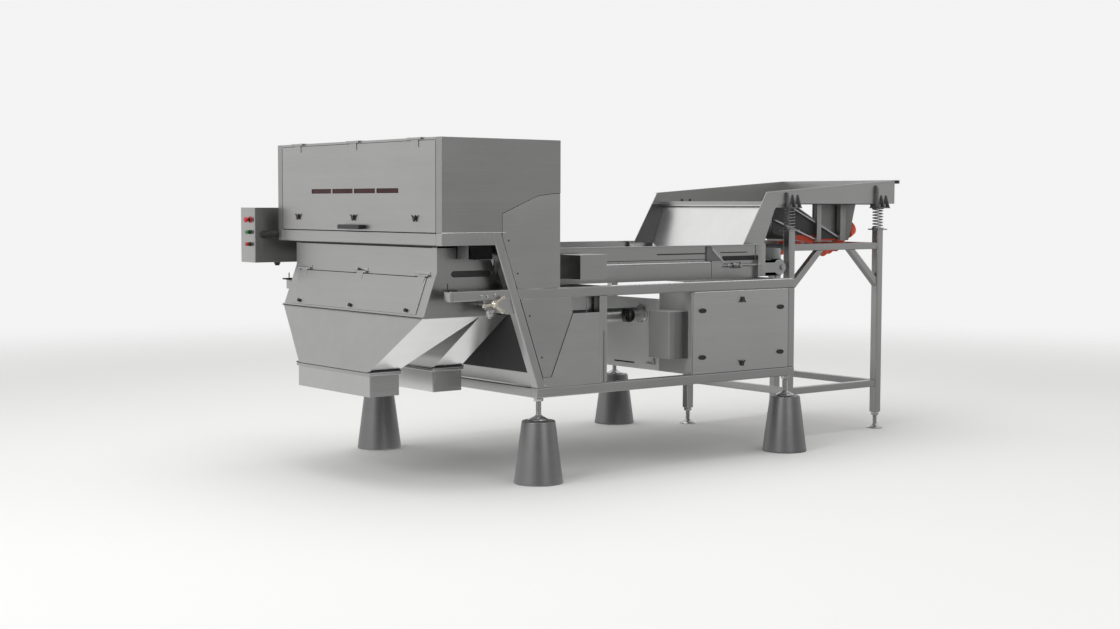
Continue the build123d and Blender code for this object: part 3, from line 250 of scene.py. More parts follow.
def stretched(place, scale):
    return place.node("ShaderNodeMapping", None, {"Vector": place, "Scale": scale})


def edgeMask(wire, radius):  # 1 on a worn corner, 0 on a flat face
    eased = wire.node("ShaderNodeBevel", {"samples": 4}, {"Radius": radius})
    true = wire.node("ShaderNodeNewGeometry", output="Normal")
    return (1 - eased.dot(true)).between(0.01, 0.25)


def bumpOn(wire, height, strength, distance):
    return wire.node(
        "ShaderNodeBump", None, {"Strength": strength, "Distance": distance, "Height": height}, "Normal",
    )


def insideBox(place, low, high, soft):  # 1 inside a box of the machine's frame
    mask = 1.0
    for axis, start, end in zip("XYZ", low, high):
        spot = place.part(axis)
        mask = mask * (spot.between(start - soft, start + soft) * (1 - spot.between(end - soft, end + soft)))
    return mask


def brushedSteel(name, look):
    look = {**plainSteel, **look}
    finish, wire, place = newFinish(name)
    grain = noise(stretched(place, look["grain"]), 1.0, 5.0, 0.62)
    streak = noise(stretched(place, [0.06 * g for g in look["grain"]]), 1.0, 3.0)
    cloud = noise(place, 2.3, 4.0)
    smear = noise(place, 9.0, 6.0, 0.7).between(0.52, 0.74)
    edge = edgeMask(wire, 0.004)
    level = (grain * 0.40 + streak * 0.25 + cloud * 0.35).between(0.28, 0.72)
    colour = edge.tint(level.tint(rgb(look["dark"]), rgb(look["light"])), rgb(look["edge"]))
    rough = grain * 0.08 + cloud * 0.10 + smear * 0.05 + (look["rough"] - 0.11)
    metal = look["metal"]
    for patch in look["patches"]:  # a plate of the same piece with a finish of its own
        patch = {"soft": 0.003, "metal": 1.0, **patch}
        if "low" in patch:
            mask = insideBox(place, patch["low"], patch["high"], patch["soft"])
        else:
            normal = wire.node("ShaderNodeTexCoord", output="Normal")
            mask = abs(normal.part(patch["facing"])).between(0.35, 0.55)
        colour = mask.tint(colour, level.tint(rgb(patch["dark"]), rgb(patch["light"])))
        rough = rough + mask * (patch["rough"] - look["rough"])
        metal = metal + mask * (patch["metal"] - look["metal"])
    return coated(finish, wire, colour, rough, bumpOn(wire, grain, look["bump"], 0.0004), metal)


def mouldedPlastic(name, look):  # fine stipple, scuffs and pale worn corners
    dark, light, worn, rough, grit = look
    finish, wire, place = newFinish(name)
    stipple = noise(place, 900.0, 2.0)
    cloud = noise(place, 16.0, 4.0)
    scuff = noise(stretched(place, (90.0, 90.0, 400.0)), 1.0, 4.0, 0.7).between(0.60, 0.74)
    edge = edgeMask(wire, 0.0016)
    body = cloud.between(0.3, 0.7).tint(rgb(dark), rgb(light))
    colour = (edge * 0.55 + scuff * 0.25).tint(body, rgb(worn))
    rough = stipple * 0.10 + cloud * 0.14 + scuff * 0.08 + (rough - 0.12)
    return coated(finish, wire, colour, rough, bumpOn(wire, stipple, grit, 0.0003))


def sprayPaint(name, look):  # orange peel, dust and chips down to the metal at corners
    dark, light, dustShade, bare, rough = look
    finish, wire, place = newFinish(name)
    peel = noise(place, 320.0, 2.0)
    cloud = noise(place, 7.0, 5.0)
    dust = noise(place, 42.0, 6.0, 0.68).between(0.54, 0.76)
    chip = edgeMask(wire, 0.003) * noise(place, 75.0, 4.0).between(0.50, 0.60)
    body = cloud.between(0.3, 0.7).tint(rgb(dark), rgb(light))
    colour = chip.tint((dust * 0.35).tint(body, rgb(dustShade)), rgb(bare))
    rough = peel * 0.08 + dust * 0.18 + (rough - 0.08)
    return coated(finish, wire, colour, rough, bumpOn(wire, peel, 0.18, 0.0004), chip * 0.9)


def turnedMetal(name, look):  # lathe rings, tarnish and bright corners
    lathe, dark, light, tarnishShade, stain, bright, rough = look
    finish, wire, place = newFinish(name)
    rings = noise(stretched(place, lathe), 1.0, 4.0, 0.6)
    tarnish = noise(place, 38.0, 5.0, 0.66).between(0.42, 0.72)
    cloud = noise(place, 11.0, 4.0)
    edge = edgeMask(wire, 0.0016)
    body = (rings * 0.5 + cloud * 0.5).between(0.3, 0.7).tint(rgb(dark), rgb(light))
    colour = edge.tint((tarnish * stain).tint(body, rgb(tarnishShade)), rgb(bright))
    rough = rings * 0.10 + tarnish * 0.16 + (rough - 0.10)
    metal = 1.0 - tarnish * (0.3 * stain)
    return coated(finish, wire, colour, rough, bumpOn(wire, rings, 0.10, 0.0003), metal)


def castIron(name, look):  # grainy sand-cast skin
    dark, light, bright, rough = look
    finish, wire, place = newFinish(name)
    sand = noise(place, 420.0, 4.0, 0.65)
    cloud = noise(place, 18.0, 5.0)
    edge = edgeMask(wire, 0.002)
    body = (sand * 0.4 + cloud * 0.6).between(0.32, 0.68).tint(rgb(dark), rgb(light))
    colour = edge.tint(body, rgb(bright))
    rough = sand * 0.2 + cloud * 0.1 + (rough - 0.15)
    return coated(finish, wire, colour, rough, bumpOn(wire, sand, 0.4, 0.0006), 0.55 + edge * 0.4)


def tintedGlass(name, look):  # smoked pane with a film of dust
    dark, light, dustShade, rough, shine = look
    finish, wire, place = newFinish(name)
    cloud = noise(place, 6.0, 4.0)
    dust = noise(place, 120.0, 6.0, 0.7).between(0.55, 0.80)
    body = cloud.between(0.3, 0.7).tint(rgb(dark), rgb(light))
    colour = (dust * 0.25).tint(body, rgb(dustShade))
    rough = dust * 0.25 + cloud * 0.05 + rough
    return coated(finish, wire, colour, rough, bumpOn(wire, cloud, 0.03, 0.002), shine=shine)


def beltFabric(name, look):  # fine woven top with rubbed tracks along the run
    dark, light, dustShade, threads, rough = look
    finish, wire, place = newFinish(name)
    warp, weft = (wire.sum("SINE", place.part(axis) * threads, 0.0) for axis in "YX")
    weave = warp * weft * 0.5 + 0.5
    track = noise(stretched(place, (0.6, 14.0, 2.0)), 1.0, 4.0)
    grime = noise(place, 24.0, 6.0, 0.7).between(0.50, 0.78)
    body = (weave * 0.35 + track * 0.65).between(0.3, 0.75).tint(rgb(dark), rgb(light))
    colour = (grime * 0.4).tint(body, rgb(dustShade))
    rough = track * 0.15 + weave * 0.08 + rough
    return coated(finish, wire, colour, rough, bumpOn(wire, weave, 0.25, 0.0004))


# darker tone for the webs of the tray brackets
darkerWebs = {"dark": (0.050, 0.050, 0.052), "light": (0.075, 0.075, 0.077), "rough": 0.48, "metal": 0.3}
finPaint = {"dark": (0.115, 0.115, 0.117), "light": (0.150, 0.150, 0.152), "rough": 0.46, "metal": 0.5}
# near black for the strips behind the seams of the side covers: painted shade
paintedSeamShade = {
    "dark": (0.004, 0.004, 0.004), "light": (0.008, 0.008, 0.008), "rough": 0.75, "metal": 0.0,
    "soft": 0.0004,
}
# near-white tone for the bay panel, which stands in shade: painted light
paintedLightBay = {"dark": (0.76, 0.76, 0.755), "light": (0.82, 0.82, 0.815), "rough": 0.60, "metal": 0.0}
motorPaint = {"dark": (0.50, 0.050, 0.020), "light": (0.64, 0.080, 0.030), "rough": 0.46, "metal": 0.0}
plainSteel = {  # what every sheet shares unless its own look says otherwise
    "grain": (5.0, 260.0, 260.0), "dark": (0.375, 0.375, 0.37), "light": (0.43, 0.43, 0.427),
    "edge": (0.60, 0.60, 0.60), "rough": 0.34, "metal": 1.0, "bump": 0.08, "patches": [],
}
steelLooks = {
    "sideSteel": {  # grain along the machine; the end of the cabinet is satin
        "patches": [{
            "low": (-0.136, -0.853, 0.46), "high": (-0.127, -0.58, 0.912),
            "dark": (0.36, 0.36, 0.355), "light": (0.42, 0.42, 0.415), "rough": 0.58, "metal": 0.1,
        }],
    },
    "headSteel": {  # sides of the head, a little darker
        "dark": (0.315, 0.315, 0.31), "light": (0.36, 0.36, 0.357), "edge": (0.56, 0.56, 0.56),
    },
    "coverSteel": {  # cabinet cover, a little lighter
        "dark": (0.455, 0.455, 0.45), "light": (0.52, 0.52, 0.515), "edge": (0.64, 0.64, 0.64),
    },
    "acrossSteel": {"grain": (260.0, 5.0, 260.0)},  # grain across the machine
    "postSteel": {  # grain up the posts
        "grain": (260.0, 260.0, 5.0), "dark": (0.38, 0.38, 0.375), "light": (0.45, 0.45, 0.445),
        "edge": (0.62, 0.62, 0.62), "rough": 0.32,
    },
    "plateSteel": {  # frame panels: shield behind the chutes drawn black as painted shade, black strips behind seams as painted shade, bay panel drawn light as painted light
        "dark": (0.41, 0.41, 0.405), "light": (0.47, 0.47, 0.467),
        "patches": [
            # shield behind the chutes drawn near black: painted shade
            {"low": (-1.36, -0.815, 0.542), "high": (-1.10, 0.655, 1.1),
             "dark": (0.005, 0.005, 0.005), "light": (0.009, 0.009, 0.009), "rough": 0.62, "metal": 0.0},
            # strips behind the cover seams drawn black: painted shade
            {"low": (-1.5, -0.8597, 0.45), "high": (-0.7, -0.853, 0.96), **paintedSeamShade},
            {"low": (-1.5, 0.691, 0.45), "high": (-0.7, 0.6977, 0.96), **paintedSeamShade},
            # bay panel drawn almost white: painted light
            {"low": (-0.138, -0.60, 0.46), "high": (-0.124, 0.705, 0.87), **paintedLightBay},
        ],
    },
    "chuteSteel": {  # side plates of the funnels are polished, and drawn brighter than plain steel as a painted reflection
        "edge": (0.62, 0.62, 0.62), "rough": 0.32, "bump": 0.06,
        "patches": [
            # bright patch on the funnels and brighter sides facing along Y: painted reflection; spout near
            # faces keep the plain steel tone, spout fronts are a little lighter as painted light
            {"low": (-1.66, -0.72, 0.38), "high": (-1.468, 0.56, 0.90),
             "dark": (0.66, 0.66, 0.655), "light": (0.74, 0.74, 0.735), "rough": 0.36},
            {"facing": "Y", "dark": (0.74, 0.74, 0.735), "light": (0.82, 0.82, 0.815), "rough": 0.24},
            {"low": (-1.87, -0.436, 0.38), "high": (-1.29, -0.416, 0.547),
             "dark": (0.36, 0.36, 0.355), "light": (0.42, 0.42, 0.415), "rough": 0.34},
            {"low": (-1.856, -0.44, 0.38), "high": (-1.842, 0.28, 0.547),
             "dark": (0.45, 0.45, 0.445), "light": (0.51, 0.51, 0.505), "rough": 0.34},
        ],
    },
    "traySteel": {  # feeder tray; the slide plate is drawn bright as painted light, its far wall and the skirt darker as painted shade
        "dark": (0.40, 0.40, 0.395), "light": (0.465, 0.465, 0.46), "rough": 0.36,
        "patches": [
            # slide plate drawn near white: painted light from above
            {"low": (0.60, -0.544, 1.00), "high": (0.80, 0.382, 1.365),
             "dark": (0.80, 0.80, 0.795), "light": (0.88, 0.88, 0.875), "rough": 0.33},
            # far inner wall of the slide drawn dark: painted shade
            {"low": (0.45, 0.3832, 1.05), "high": (0.79, 0.386, 1.37), "soft": 0.0004,
             "dark": (0.10, 0.10, 0.10), "light": (0.13, 0.13, 0.13), "rough": 0.42},
            # skirt between the ribs drawn darker: painted shade
            {"low": (1.338, -0.366, 1.15), "high": (1.72, -0.357, 1.40),
             "dark": (0.23, 0.23, 0.228), "light": (0.28, 0.28, 0.277), "rough": 0.40},
            {"low": (1.338, -0.366, 1.12), "high": (1.512, -0.357, 1.178), **motorPaint},
        ],
    },
    "bracketSteel": {  # tray brackets, with dark gussets outside the tray walls and dark webs
        "grain": (260.0, 260.0, 6.0), "dark": (0.36, 0.36, 0.355), "light": (0.42, 0.42, 0.415),
        "edge": (0.56, 0.56, 0.56), "rough": 0.38,
        "patches": [
            {"low": (0.8, -0.60, 1.34), "high": (1.9, -0.5515, 1.50), **finPaint},
            {"low": (0.8, 0.3895, 1.34), "high": (1.9, 0.44, 1.50), **finPaint},
            {"low": (0.9, -0.370, 1.12), "high": (1.56, -0.355, 1.385), **darkerWebs},
            {"low": (0.9, 0.193, 1.12), "high": (1.56, 0.208, 1.385), **darkerWebs},
            {"low": (1.06, -0.370, 1.12), "high": (1.303, -0.355, 1.186), **motorPaint},
        ],
    },
    "hingeSteel": {  # bright hinges of the door and the flap
        "grain": (120.0, 20.0, 120.0), "dark": (0.40, 0.40, 0.395), "light": (0.47, 0.47, 0.465),
        "edge": (0.62, 0.62, 0.62), "bump": 0.05,
    },
    "boxSteel": {  # control box
        "grain": (180.0, 180.0, 6.0), "dark": (0.38, 0.38, 0.375), "light": (0.44, 0.44, 0.435),
        "edge": (0.55, 0.55, 0.55), "rough": 0.36, "bump": 0.07,
    },
    "footSteel": {  # spun cones, duller than the frame
        "grain": (8.0, 8.0, 200.0), "dark": (0.19, 0.19, 0.19), "light": (0.22, 0.22, 0.22),
        "edge": (0.34, 0.34, 0.34), "rough": 0.42, "bump": 0.03,
    },
    "coolerGrey": {  # satin case of the cabinet cooler; its sides facing along Y are drawn darker, a painted shade
        "grain": (180.0, 180.0, 6.0), "dark": (0.32, 0.32, 0.316), "light": (0.37, 0.37, 0.366),
        "rough": 0.58, "metal": 0.0, "bump": 0.05,
        "patches": [
            # sides facing along Y drawn darker: painted shade
            {"facing": "Y", "dark": (0.22, 0.22, 0.218), "light": (0.26, 0.26, 0.258), "rough": 0.40},
        ],
    },
    "ductSteel": {  # rolled duct
        "grain": (200.0, 6.0, 6.0), "dark": (0.60, 0.60, 0.59), "light": (0.70, 0.70, 0.69),
        "edge": (0.7, 0.7, 0.7), "rough": 0.32, "bump": 0.05,
    },
}
plasticLooks = {  # dark, light and worn shade, roughness, depth of the stipple
    "blackPlastic": ((0.010, 0.010, 0.011), (0.020, 0.020, 0.021), (0.10, 0.10, 0.10), 0.42, 0.15),
    # also the dark strips that draw shadow lines and the shade behind a slot: painted shade
    "softRubber": ((0.016, 0.016, 0.016), (0.030, 0.030, 0.029), (0.09, 0.09, 0.085), 0.72, 0.3),
    "stopRed": ((0.48, 0.012, 0.010), (0.62, 0.020, 0.016), (0.75, 0.20, 0.17), 0.34, 0.15),
    "startGreen": ((0.020, 0.22, 0.050), (0.035, 0.32, 0.075), (0.22, 0.45, 0.25), 0.34, 0.15),
    "cameraBlack": ((0.014, 0.014, 0.015), (0.026, 0.026, 0.028), (0.16, 0.16, 0.16), 0.38, 0.15),
    "lampOpal": ((0.72, 0.73, 0.72), (0.82, 0.83, 0.82), (0.88, 0.88, 0.87), 0.30, 0.05),
}
paintLooks = {  # dark, light and dust shade, bare metal, roughness
    "motorOrange": ((0.62, 0.060, 0.022), (0.78, 0.095, 0.032), (0.42, 0.28, 0.22), (0.30, 0.30, 0.30), 0.42),
    "zincPlate": ((0.44, 0.45, 0.46), (0.54, 0.55, 0.55), (0.40, 0.39, 0.37), (0.6, 0.6, 0.6), 0.45),
}
turnedLooks = {  # scale of the rings; dark, light and tarnish shade; share of tarnish; edge shade, roughness
    # near-white steel for strips along edges: a painted highlight
    "brightEdge": ((6.0, 400.0, 400.0), (0.80, 0.80, 0.80), (0.90, 0.90, 0.90),
                   (0.60, 0.60, 0.59), 0.2, (0.92, 0.92, 0.92), 0.30),
    "brightStud": ((20.0, 20.0, 900.0), (0.44, 0.44, 0.44), (0.60, 0.60, 0.60),
                   (0.28, 0.27, 0.26), 0.35, (0.75, 0.75, 0.75), 0.24),
    "springSteel": ((90.0, 90.0, 90.0), (0.34, 0.34, 0.345), (0.50, 0.50, 0.505),
                    (0.20, 0.19, 0.18), 0.4, (0.62, 0.62, 0.62), 0.32),
    "paleBrass": ((60.0, 60.0, 60.0), (0.50, 0.46, 0.38), (0.74, 0.70, 0.60),
                  (0.30, 0.25, 0.17), 0.5, (0.86, 0.82, 0.72), 0.30),
    "drumSteel": ((12.0, 500.0, 12.0), (0.40, 0.40, 0.40), (0.52, 0.52, 0.52),
                  (0.26, 0.25, 0.24), 0.3, (0.66, 0.66, 0.66), 0.30),
    "ejectorAnodised": ((8.0, 300.0, 300.0), (0.010, 0.010, 0.011), (0.018, 0.018, 0.019),
                        (0.03, 0.03, 0.03), 0.2, (0.10, 0.10, 0.10), 0.48),
}
castLooks = {  # dark, light and edge shade, roughness
    "castPlate": ((0.16, 0.16, 0.165), (0.22, 0.22, 0.225), (0.40, 0.40, 0.40), 0.50),
    # also the dark plates and strips that stand for shade behind slots, under the tray and above the spout
    # beads: painted shade
    "darkCast": ((0.040, 0.040, 0.042), (0.060, 0.060, 0.062), (0.16, 0.16, 0.16), 0.58),
}
glassLooks = {  # dark, light and dust shade, roughness, shine
    "windowGlass": ((0.030, 0.008, 0.009), (0.048, 0.013, 0.014), (0.20, 0.16, 0.15), 0.12, 0.14),
    "lensGlass": ((0.006, 0.008, 0.014), (0.012, 0.016, 0.026), (0.10, 0.10, 0.12), 0.04, 0.5),
}
beltLooks = {  # dark, light and dust shade, threads, roughness
    "beltRubber": ((0.042, 0.056, 0.050), (0.068, 0.086, 0.078), (0.22, 0.21, 0.18), 2600.0, 0.50),
}
finishes = {}
for maker, looks in (
    (brushedSteel, steelLooks), (mouldedPlastic, plasticLooks), (sprayPaint, paintLooks),
    (turnedMetal, turnedLooks), (castIron, castLooks), (tintedGlass, glassLooks), (beltFabric, beltLooks),
):
    for name, look in looks.items():
        finishes[name] = maker(name, look)
print("finishes mixed:", len(finishes))


def numbered(name, count):
    return [f"{name}_{number}" for number in range(1, count + 1)]


# CAD pieces keep their shape, with eased edges and a finish each
nodeFinishes = {
    "sideSteel": ["side_rails", "head_covers", "conveyor_sides", "cabinet_shell", "feeder_rails",
                  "drive_cover", "slider_bed", "drum_bearings"],
    "headSteel": ["head_side_plates", "hood_walls"],
    "coverSteel": ["cabinet_door"],
    "acrossSteel": ["cross_tubes", "head_door", "hood_front", "hood_flap", "head_roof", "splitter_blade"],
    "postSteel": ["raked_posts", "uprights", "feeder_posts", "feeder_braces"],
    "plateSteel": ["frame_plates"],
    "chuteSteel": ["accept_chute", "reject_chute"],
    "traySteel": ["tray_pan"],
    "bracketSteel": ["tray_brackets"],
    "hingeSteel": ["hinge_pins"],
    "boxSteel": ["control_box"],
    "footSteel": ["foot_cones"],
    "ductSteel": ["air_duct"],
    "coolerGrey": ["cooling_unit"],
    "blackPlastic": ["door_handle", "control_conduit", *numbered("door_latch", 3), *numbered("flap_knob", 3),
                     *numbered("cabinet_lock", 4), *numbered("cabinet_latch", 2)],
    "stopRed": ["e_stop", "red_button"],
    "startGreen": ["green_button"],
    "zincPlate": ["cabinet_backplate"],
    "cameraBlack": ["cameras"],
    "lampOpal": ["lamp_bars"],
    "ejectorAnodised": ["ejector_bar"],
    "motorOrange": ["vibration_motors"],
    "brightStud": ["levelling_feet"],
    "springSteel": ["tray_springs"],
    "paleBrass": ["star_handle"],
    "drumSteel": ["drive_drum", "tail_drum"],
    "windowGlass": ["door_windows"],
    "beltRubber": ["conveyor_belt"],
}


def easeEdges(node, width):
    weld = node.modifiers.new("weld", "WELD")
    weld.merge_threshold = 0.02 * mm
    flat = node.modifiers.new("flat", "DECIMATE")
    flat.decimate_type = "DISSOLVE"
    flat.angle_limit = radians(1.5)
    ease = node.modifiers.new("ease", "BEVEL")
    ease.width = width
    ease.segments = 2
    ease.limit_method = "ANGLE"
    ease.angle_limit = radians(32)
    even = node.modifiers.new("even", "WEIGHTED_NORMAL")
    even.keep_sharp = False


edgeWidths = {  # mm, where it isn't the plain width
    "side_rails": 3.0, "uprights": 3.0, "raked_posts": 3.0, "feeder_rails": 3.0, "feeder_posts": 3.0,
    "feeder_braces": 3.0, "cabinet_door": 2.0, "head_roof": 2.0, "head_side_plates": 1.6, "cooling_unit": 2.0,
}
plainWidth = 0.8
for finish, names in nodeFinishes.items():
    for name in names:
        easeEdges(nodes[name], edgeWidths.get(name, plainWidth) * mm)
        for spot in nodes[name].material_slots:
            spot.material = finishes[finish]
print("CAD pieces finished:", sum(len(names) for names in nodeFinishes.values()))


# modelling moves shared by the pieces below
upward, toNear, toFront = (0, 0, 1), (0, -1, 0), (-1, 0, 0)


def letGo():
    if bpy.context.mode != "OBJECT":
        bpy.ops.object.mode_set(mode="OBJECT")
    bpy.ops.object.select_all(action="DESELECT")


def take(piece):
    letGo()
    piece.select_set(True)
    bpy.context.view_layer.objects.active = piece


def pickFaces(piece, test):  # edit mode with the faces that pass the test selected
    take(piece)
    bpy.ops.object.mode_set(mode="EDIT")
    bpy.ops.mesh.select_mode(type="FACE")
    bpy.ops.mesh.select_all(action="DESELECT")
    bpy.ops.object.mode_set(mode="OBJECT")
    for face in piece.data.polygons:
        face.select = test(face)
    bpy.ops.object.mode_set(mode="EDIT")


def facing(axis, side):  # test for the faces that look along an axis
    return lambda face: getattr(face.normal, axis) * side > 0.9


def editAll(piece):
    take(piece)
    bpy.ops.object.mode_set(mode="EDIT")
    bpy.ops.mesh.select_all(action="SELECT")


def pull(way, grow=None, centre=None):  # draws the picked faces out and scales their new end
    bpy.ops.mesh.extrude_region_move(TRANSFORM_OT_translate={"value": way})
    if grow:
        bpy.ops.transform.resize(value=grow, center_override=centre)


def cutAway(piece, place, outward):  # what lies outward of the plane goes
    editAll(piece)
    bpy.ops.mesh.bisect(plane_co=place, plane_no=outward, use_fill=True, clear_outer=True)


def cleanMesh(piece):
    editAll(piece)
    bpy.ops.mesh.remove_doubles(threshold=0.00001)
    bpy.ops.mesh.normals_make_consistent(inside=False)
    bpy.ops.object.mode_set(mode="OBJECT")
    return piece


def turned(name, profile, sides=48):  # round piece up the Z axis through (radius, height) steps in mm
    letGo()
    radius, height = profile[0]
    bpy.ops.mesh.primitive_circle_add(
        vertices=sides, radius=radius * mm, fill_type="NGON", location=(0, 0, height * mm),
    )
    piece = bpy.context.object
    piece.name = name
    editAll(piece)
    for nextRadius, nextHeight in profile[1:]:
        grow = nextRadius / radius
        pull((0, 0, (nextHeight - height) * mm), (grow, grow, 1), (0, 0, nextHeight * mm))
        radius, height = nextRadius, nextHeight
    bpy.ops.object.mode_set(mode="OBJECT")
    bpy.ops.object.transform_apply()
    return cleanMesh(piece)


def bevelled(piece, width, segments=3, angle=30):
    take(piece)
    ease = piece.modifiers.new("ease", "BEVEL")
    ease.width = width * mm
    ease.segments = segments
    ease.limit_method = "ANGLE"
    ease.angle_limit = radians(angle)
    bpy.ops.object.modifier_apply(modifier="ease")
    return piece


def block(name, size, middle=(0, 0, 0), ease=1.0, segments=3):  # box with eased edges, sizes in mm
    letGo()
    bpy.ops.mesh.primitive_cube_add(size=1, location=[m * mm for m in middle], scale=[s * mm for s in size])
    piece = bpy.context.object
    piece.name = name
    bpy.ops.object.transform_apply()
    if ease:
        bevelled(piece, ease, segments)
    return piece


def settle(piece, place, outward=(0, 0, 1), up=(0, 1, 0)):  # local Z goes outward, local Y goes up
    take(piece)
    zWay = Vector(outward).normalized()
    xWay = Vector(up).cross(zWay).normalized()
    yWay = zWay.cross(xWay)
    piece.matrix_world = Matrix.Translation(place) @ Matrix((xWay, yWay, zWay)).transposed().to_4x4()
    bpy.ops.object.transform_apply()
    return piece


def twin(piece, name):
    take(piece)
    bpy.ops.object.duplicate()
    bpy.context.object.name = name
    return bpy.context.object


def joined(name, pieces):
    take(pieces[0])
    for piece in pieces[1:]:
        piece.select_set(True)
    bpy.ops.object.join()
    pieces[0].name = name
    return pieces[0]


def scrap(piece):
    bpy.data.objects.remove(piece)


def dress(piece, finish):
    piece.data.materials.clear()
    piece.data.materials.append(finishes[finish])
    return piece


def blocks(name, rows, ease):  # boxes from rows of size and middle
    return [block(name, size, middle, ease) for size, middle in rows]


def strips(name, rows, ease):  # boxes from rows of size, place, outward and up
    return [settle(block(name, size, (0, 0, 0), ease), *row) for size, *row in rows]


def spread(pattern, name, spots):  # one copy of the pattern on each spot, joined
    copies = []
    for number, spot in enumerate(spots):
        copies.append(settle(twin(pattern, f"{name}_{number}"), spot))
    scrap(pattern)
    return joined(name, copies)


def studs(name, profile, outward, spots):  # six-sided heads that point outward from their spots
    return spread(settle(turned(name, profile, 6), (0, 0, 0), outward, upward), name, spots)


def hang(piece, finish, body="frame", node=None):  # finish it, let it ride, hide the CAD node it stands for
    take(dress(piece, finish))
    bpy.ops.object.shade_smooth_by_angle(angle=radians(32))
    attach(piece, body)
    if node:
        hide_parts(node)


def fitTurning(pattern, ending, ups):  # a copy on each turning joint, with the way its top points
    for name, up in ups.items():
        joint = joints[name + "_turn"]
        piece = settle(twin(pattern, name + ending), joint["pos_m"], joint["axis"], up)
        hang(piece, "blackPlastic", name, name)
    scrap(pattern)


# wing latches of the front door and the cabinet cover
latchShape = {
    "collar": [(10.5, 0.6), (11.5, 1.4), (11.5, 3.2), (10.0, 4.4)],
    "body": (25.0, 27.0, 10.0),  # wide, tall, deep
    "bodyMiddle": (0, -3.5, 8.5),
    "taper": (0.4, 1, 0.75),  # the lower end narrows to a rounded tip
    "taperAt": (0, -0.017, 0.007),
    "dish": (0.003, -0.0015),  # rim and depth of the hollow front
    "wing": (7.0, 8.0, 7.0),
    "wingReach": (0.001, 0.006, 0.001),
    "wingTaper": (0.5, 1, 0.8),
    "wingEnd": (0.001, 0.013, 0.001),
    "wingPlace": (0.0075, 0.0055, 0.0085),
    "wingLean": 50.0,
    "cam": (14.0, 38.0, 5.0),
    "camMiddle": (0, -12, -10.5),
    "shaft": [(4.9, -13.0), (4.9, 1.5)],
}


def makeLatch():
    shape = latchShape
    collar = turned("latchCollar", shape["collar"], 32)
    body = block("latchBody", shape["body"], shape["bodyMiddle"], 0)
    pickFaces(body, facing("y", -1))
    bpy.ops.transform.resize(value=shape["taper"], center_override=shape["taperAt"])
    pickFaces(body, facing("z", 1))
    rim, sink = shape["dish"]
    bpy.ops.mesh.inset(thickness=rim)
    bpy.ops.transform.translate(value=(0, 0, sink))
    bevelled(body, 2.2)
    wings = []
    for side in (-1, 1):
        ways = (shape["wingReach"], shape["wingEnd"], shape["wingPlace"])
        reach, end, place = ((side * x, y, z) for x, y, z in ways)
        wing = block("latchWing", shape["wing"], (0, shape["wing"][1] / 2, 0), 0)
        pickFaces(wing, facing("y", 1))
        pull(reach, shape["wingTaper"], end)
        bevelled(wing, 1.6)
        lean = radians(shape["wingLean"]) * side
        wings.append(settle(wing, place, upward, (sin(lean), cos(lean), 0)))
    cam = block("latchCam", shape["cam"], shape["camMiddle"])
    shaft = turned("latchShaft", shape["shaft"], 20)
    return joined("latchPattern", [collar, body, *wings, cam, shaft])


latchUps = {name: upward for name in [*numbered("door_latch", 3), "cabinet_latch_1"]}
fitTurning(makeLatch(), "_wing", {**latchUps, "cabinet_latch_2": (0, 0, -1)})

# oval locks of the cabinet cover
lockShape = {
    "grip": [(11.6, 0.6), (12.5, 1.6), (12.5, 6.6), (11.6, 8.4), (9.9, 9.2), (9.0, 8.6),
             (8.4, 7.0), (4.4, 6.8)],
    "stretch": 1.84,
    "bar": (26.0, 5.0, 3.0),
    "barMiddle": (0, 0, 7.6),
    "cam": (36.0, 14.0, 5.0),
    "camMiddle": (10, 0, -10.5),
    "shaft": [(4.9, -13.0), (4.9, 2.0)],
}


def makeLock():
    shape = lockShape
    grip = turned("lockGrip", shape["grip"], 56)
    take(grip)
    grip.scale = (shape["stretch"], 1, 1)
    bpy.ops.object.transform_apply()
    bar = block("lockBar", shape["bar"], shape["barMiddle"], 1.2)
    cam = block("lockCam", shape["cam"], shape["camMiddle"])
    shaft = turned("lockShaft", shape["shaft"], 20)
    return joined("lockPattern", [grip, bar, cam, shaft])


fitTurning(makeLock(), "_grip", {name: upward for name in numbered("cabinet_lock", 4)})

# fluted knobs of the hood flap
knobShape = {
    "profile": [(5.4, 0.6), (6.2, 1.2), (6.2, 2.6), (8.6, 3.2), (9.5, 4.2), (9.5, 9.2), (8.5, 11.0),
                (6.4, 11.6), (5.7, 11.0)],
    "flutes": 10,
    "fluteFrom": 0.0084,  # radius from which the flutes are drawn in
    "flutePull": 0.90,
    "shaft": [(4.9, -12.0), (4.9, 1.0)],
}


def makeKnob():
    shape = knobShape
    knob = turned("knobBody", shape["profile"], 6 * shape["flutes"])
    take(knob)
    bpy.ops.object.mode_set(mode="EDIT")
    bpy.ops.mesh.select_mode(type="VERT")
    bpy.ops.mesh.select_all(action="DESELECT")
    bpy.ops.object.mode_set(mode="OBJECT")
    pitch = 2 * pi / shape["flutes"]
    for vertex in knob.data.vertices:
        turn = Vector((1, 0)).angle_signed(vertex.co.xy, 0.0) % pitch
        vertex.select = vertex.co.xy.length > shape["fluteFrom"] and abs(turn - pitch / 2) < pitch / 5
    bpy.ops.object.mode_set(mode="EDIT")
    bpy.ops.transform.resize(value=(shape["flutePull"], shape["flutePull"], 1), center_override=(0, 0, 0))
    shaft = turned("knobShaft", shape["shaft"], 20)
    return joined("knobPattern", [knob, shaft])


fitTurning(makeKnob(), "_grip", {name: (0, 1, 0) for name in numbered("flap_knob", 3)})
print("latches, locks and knobs modelled")

# pull handle of the front door: a bar with two feet, hollowed on its back
handleShape = {"bar": 15.0, "foot": 24.0, "ease": 5.0, "long": 208.0, "tall": 22.0, "shift": 5.0}


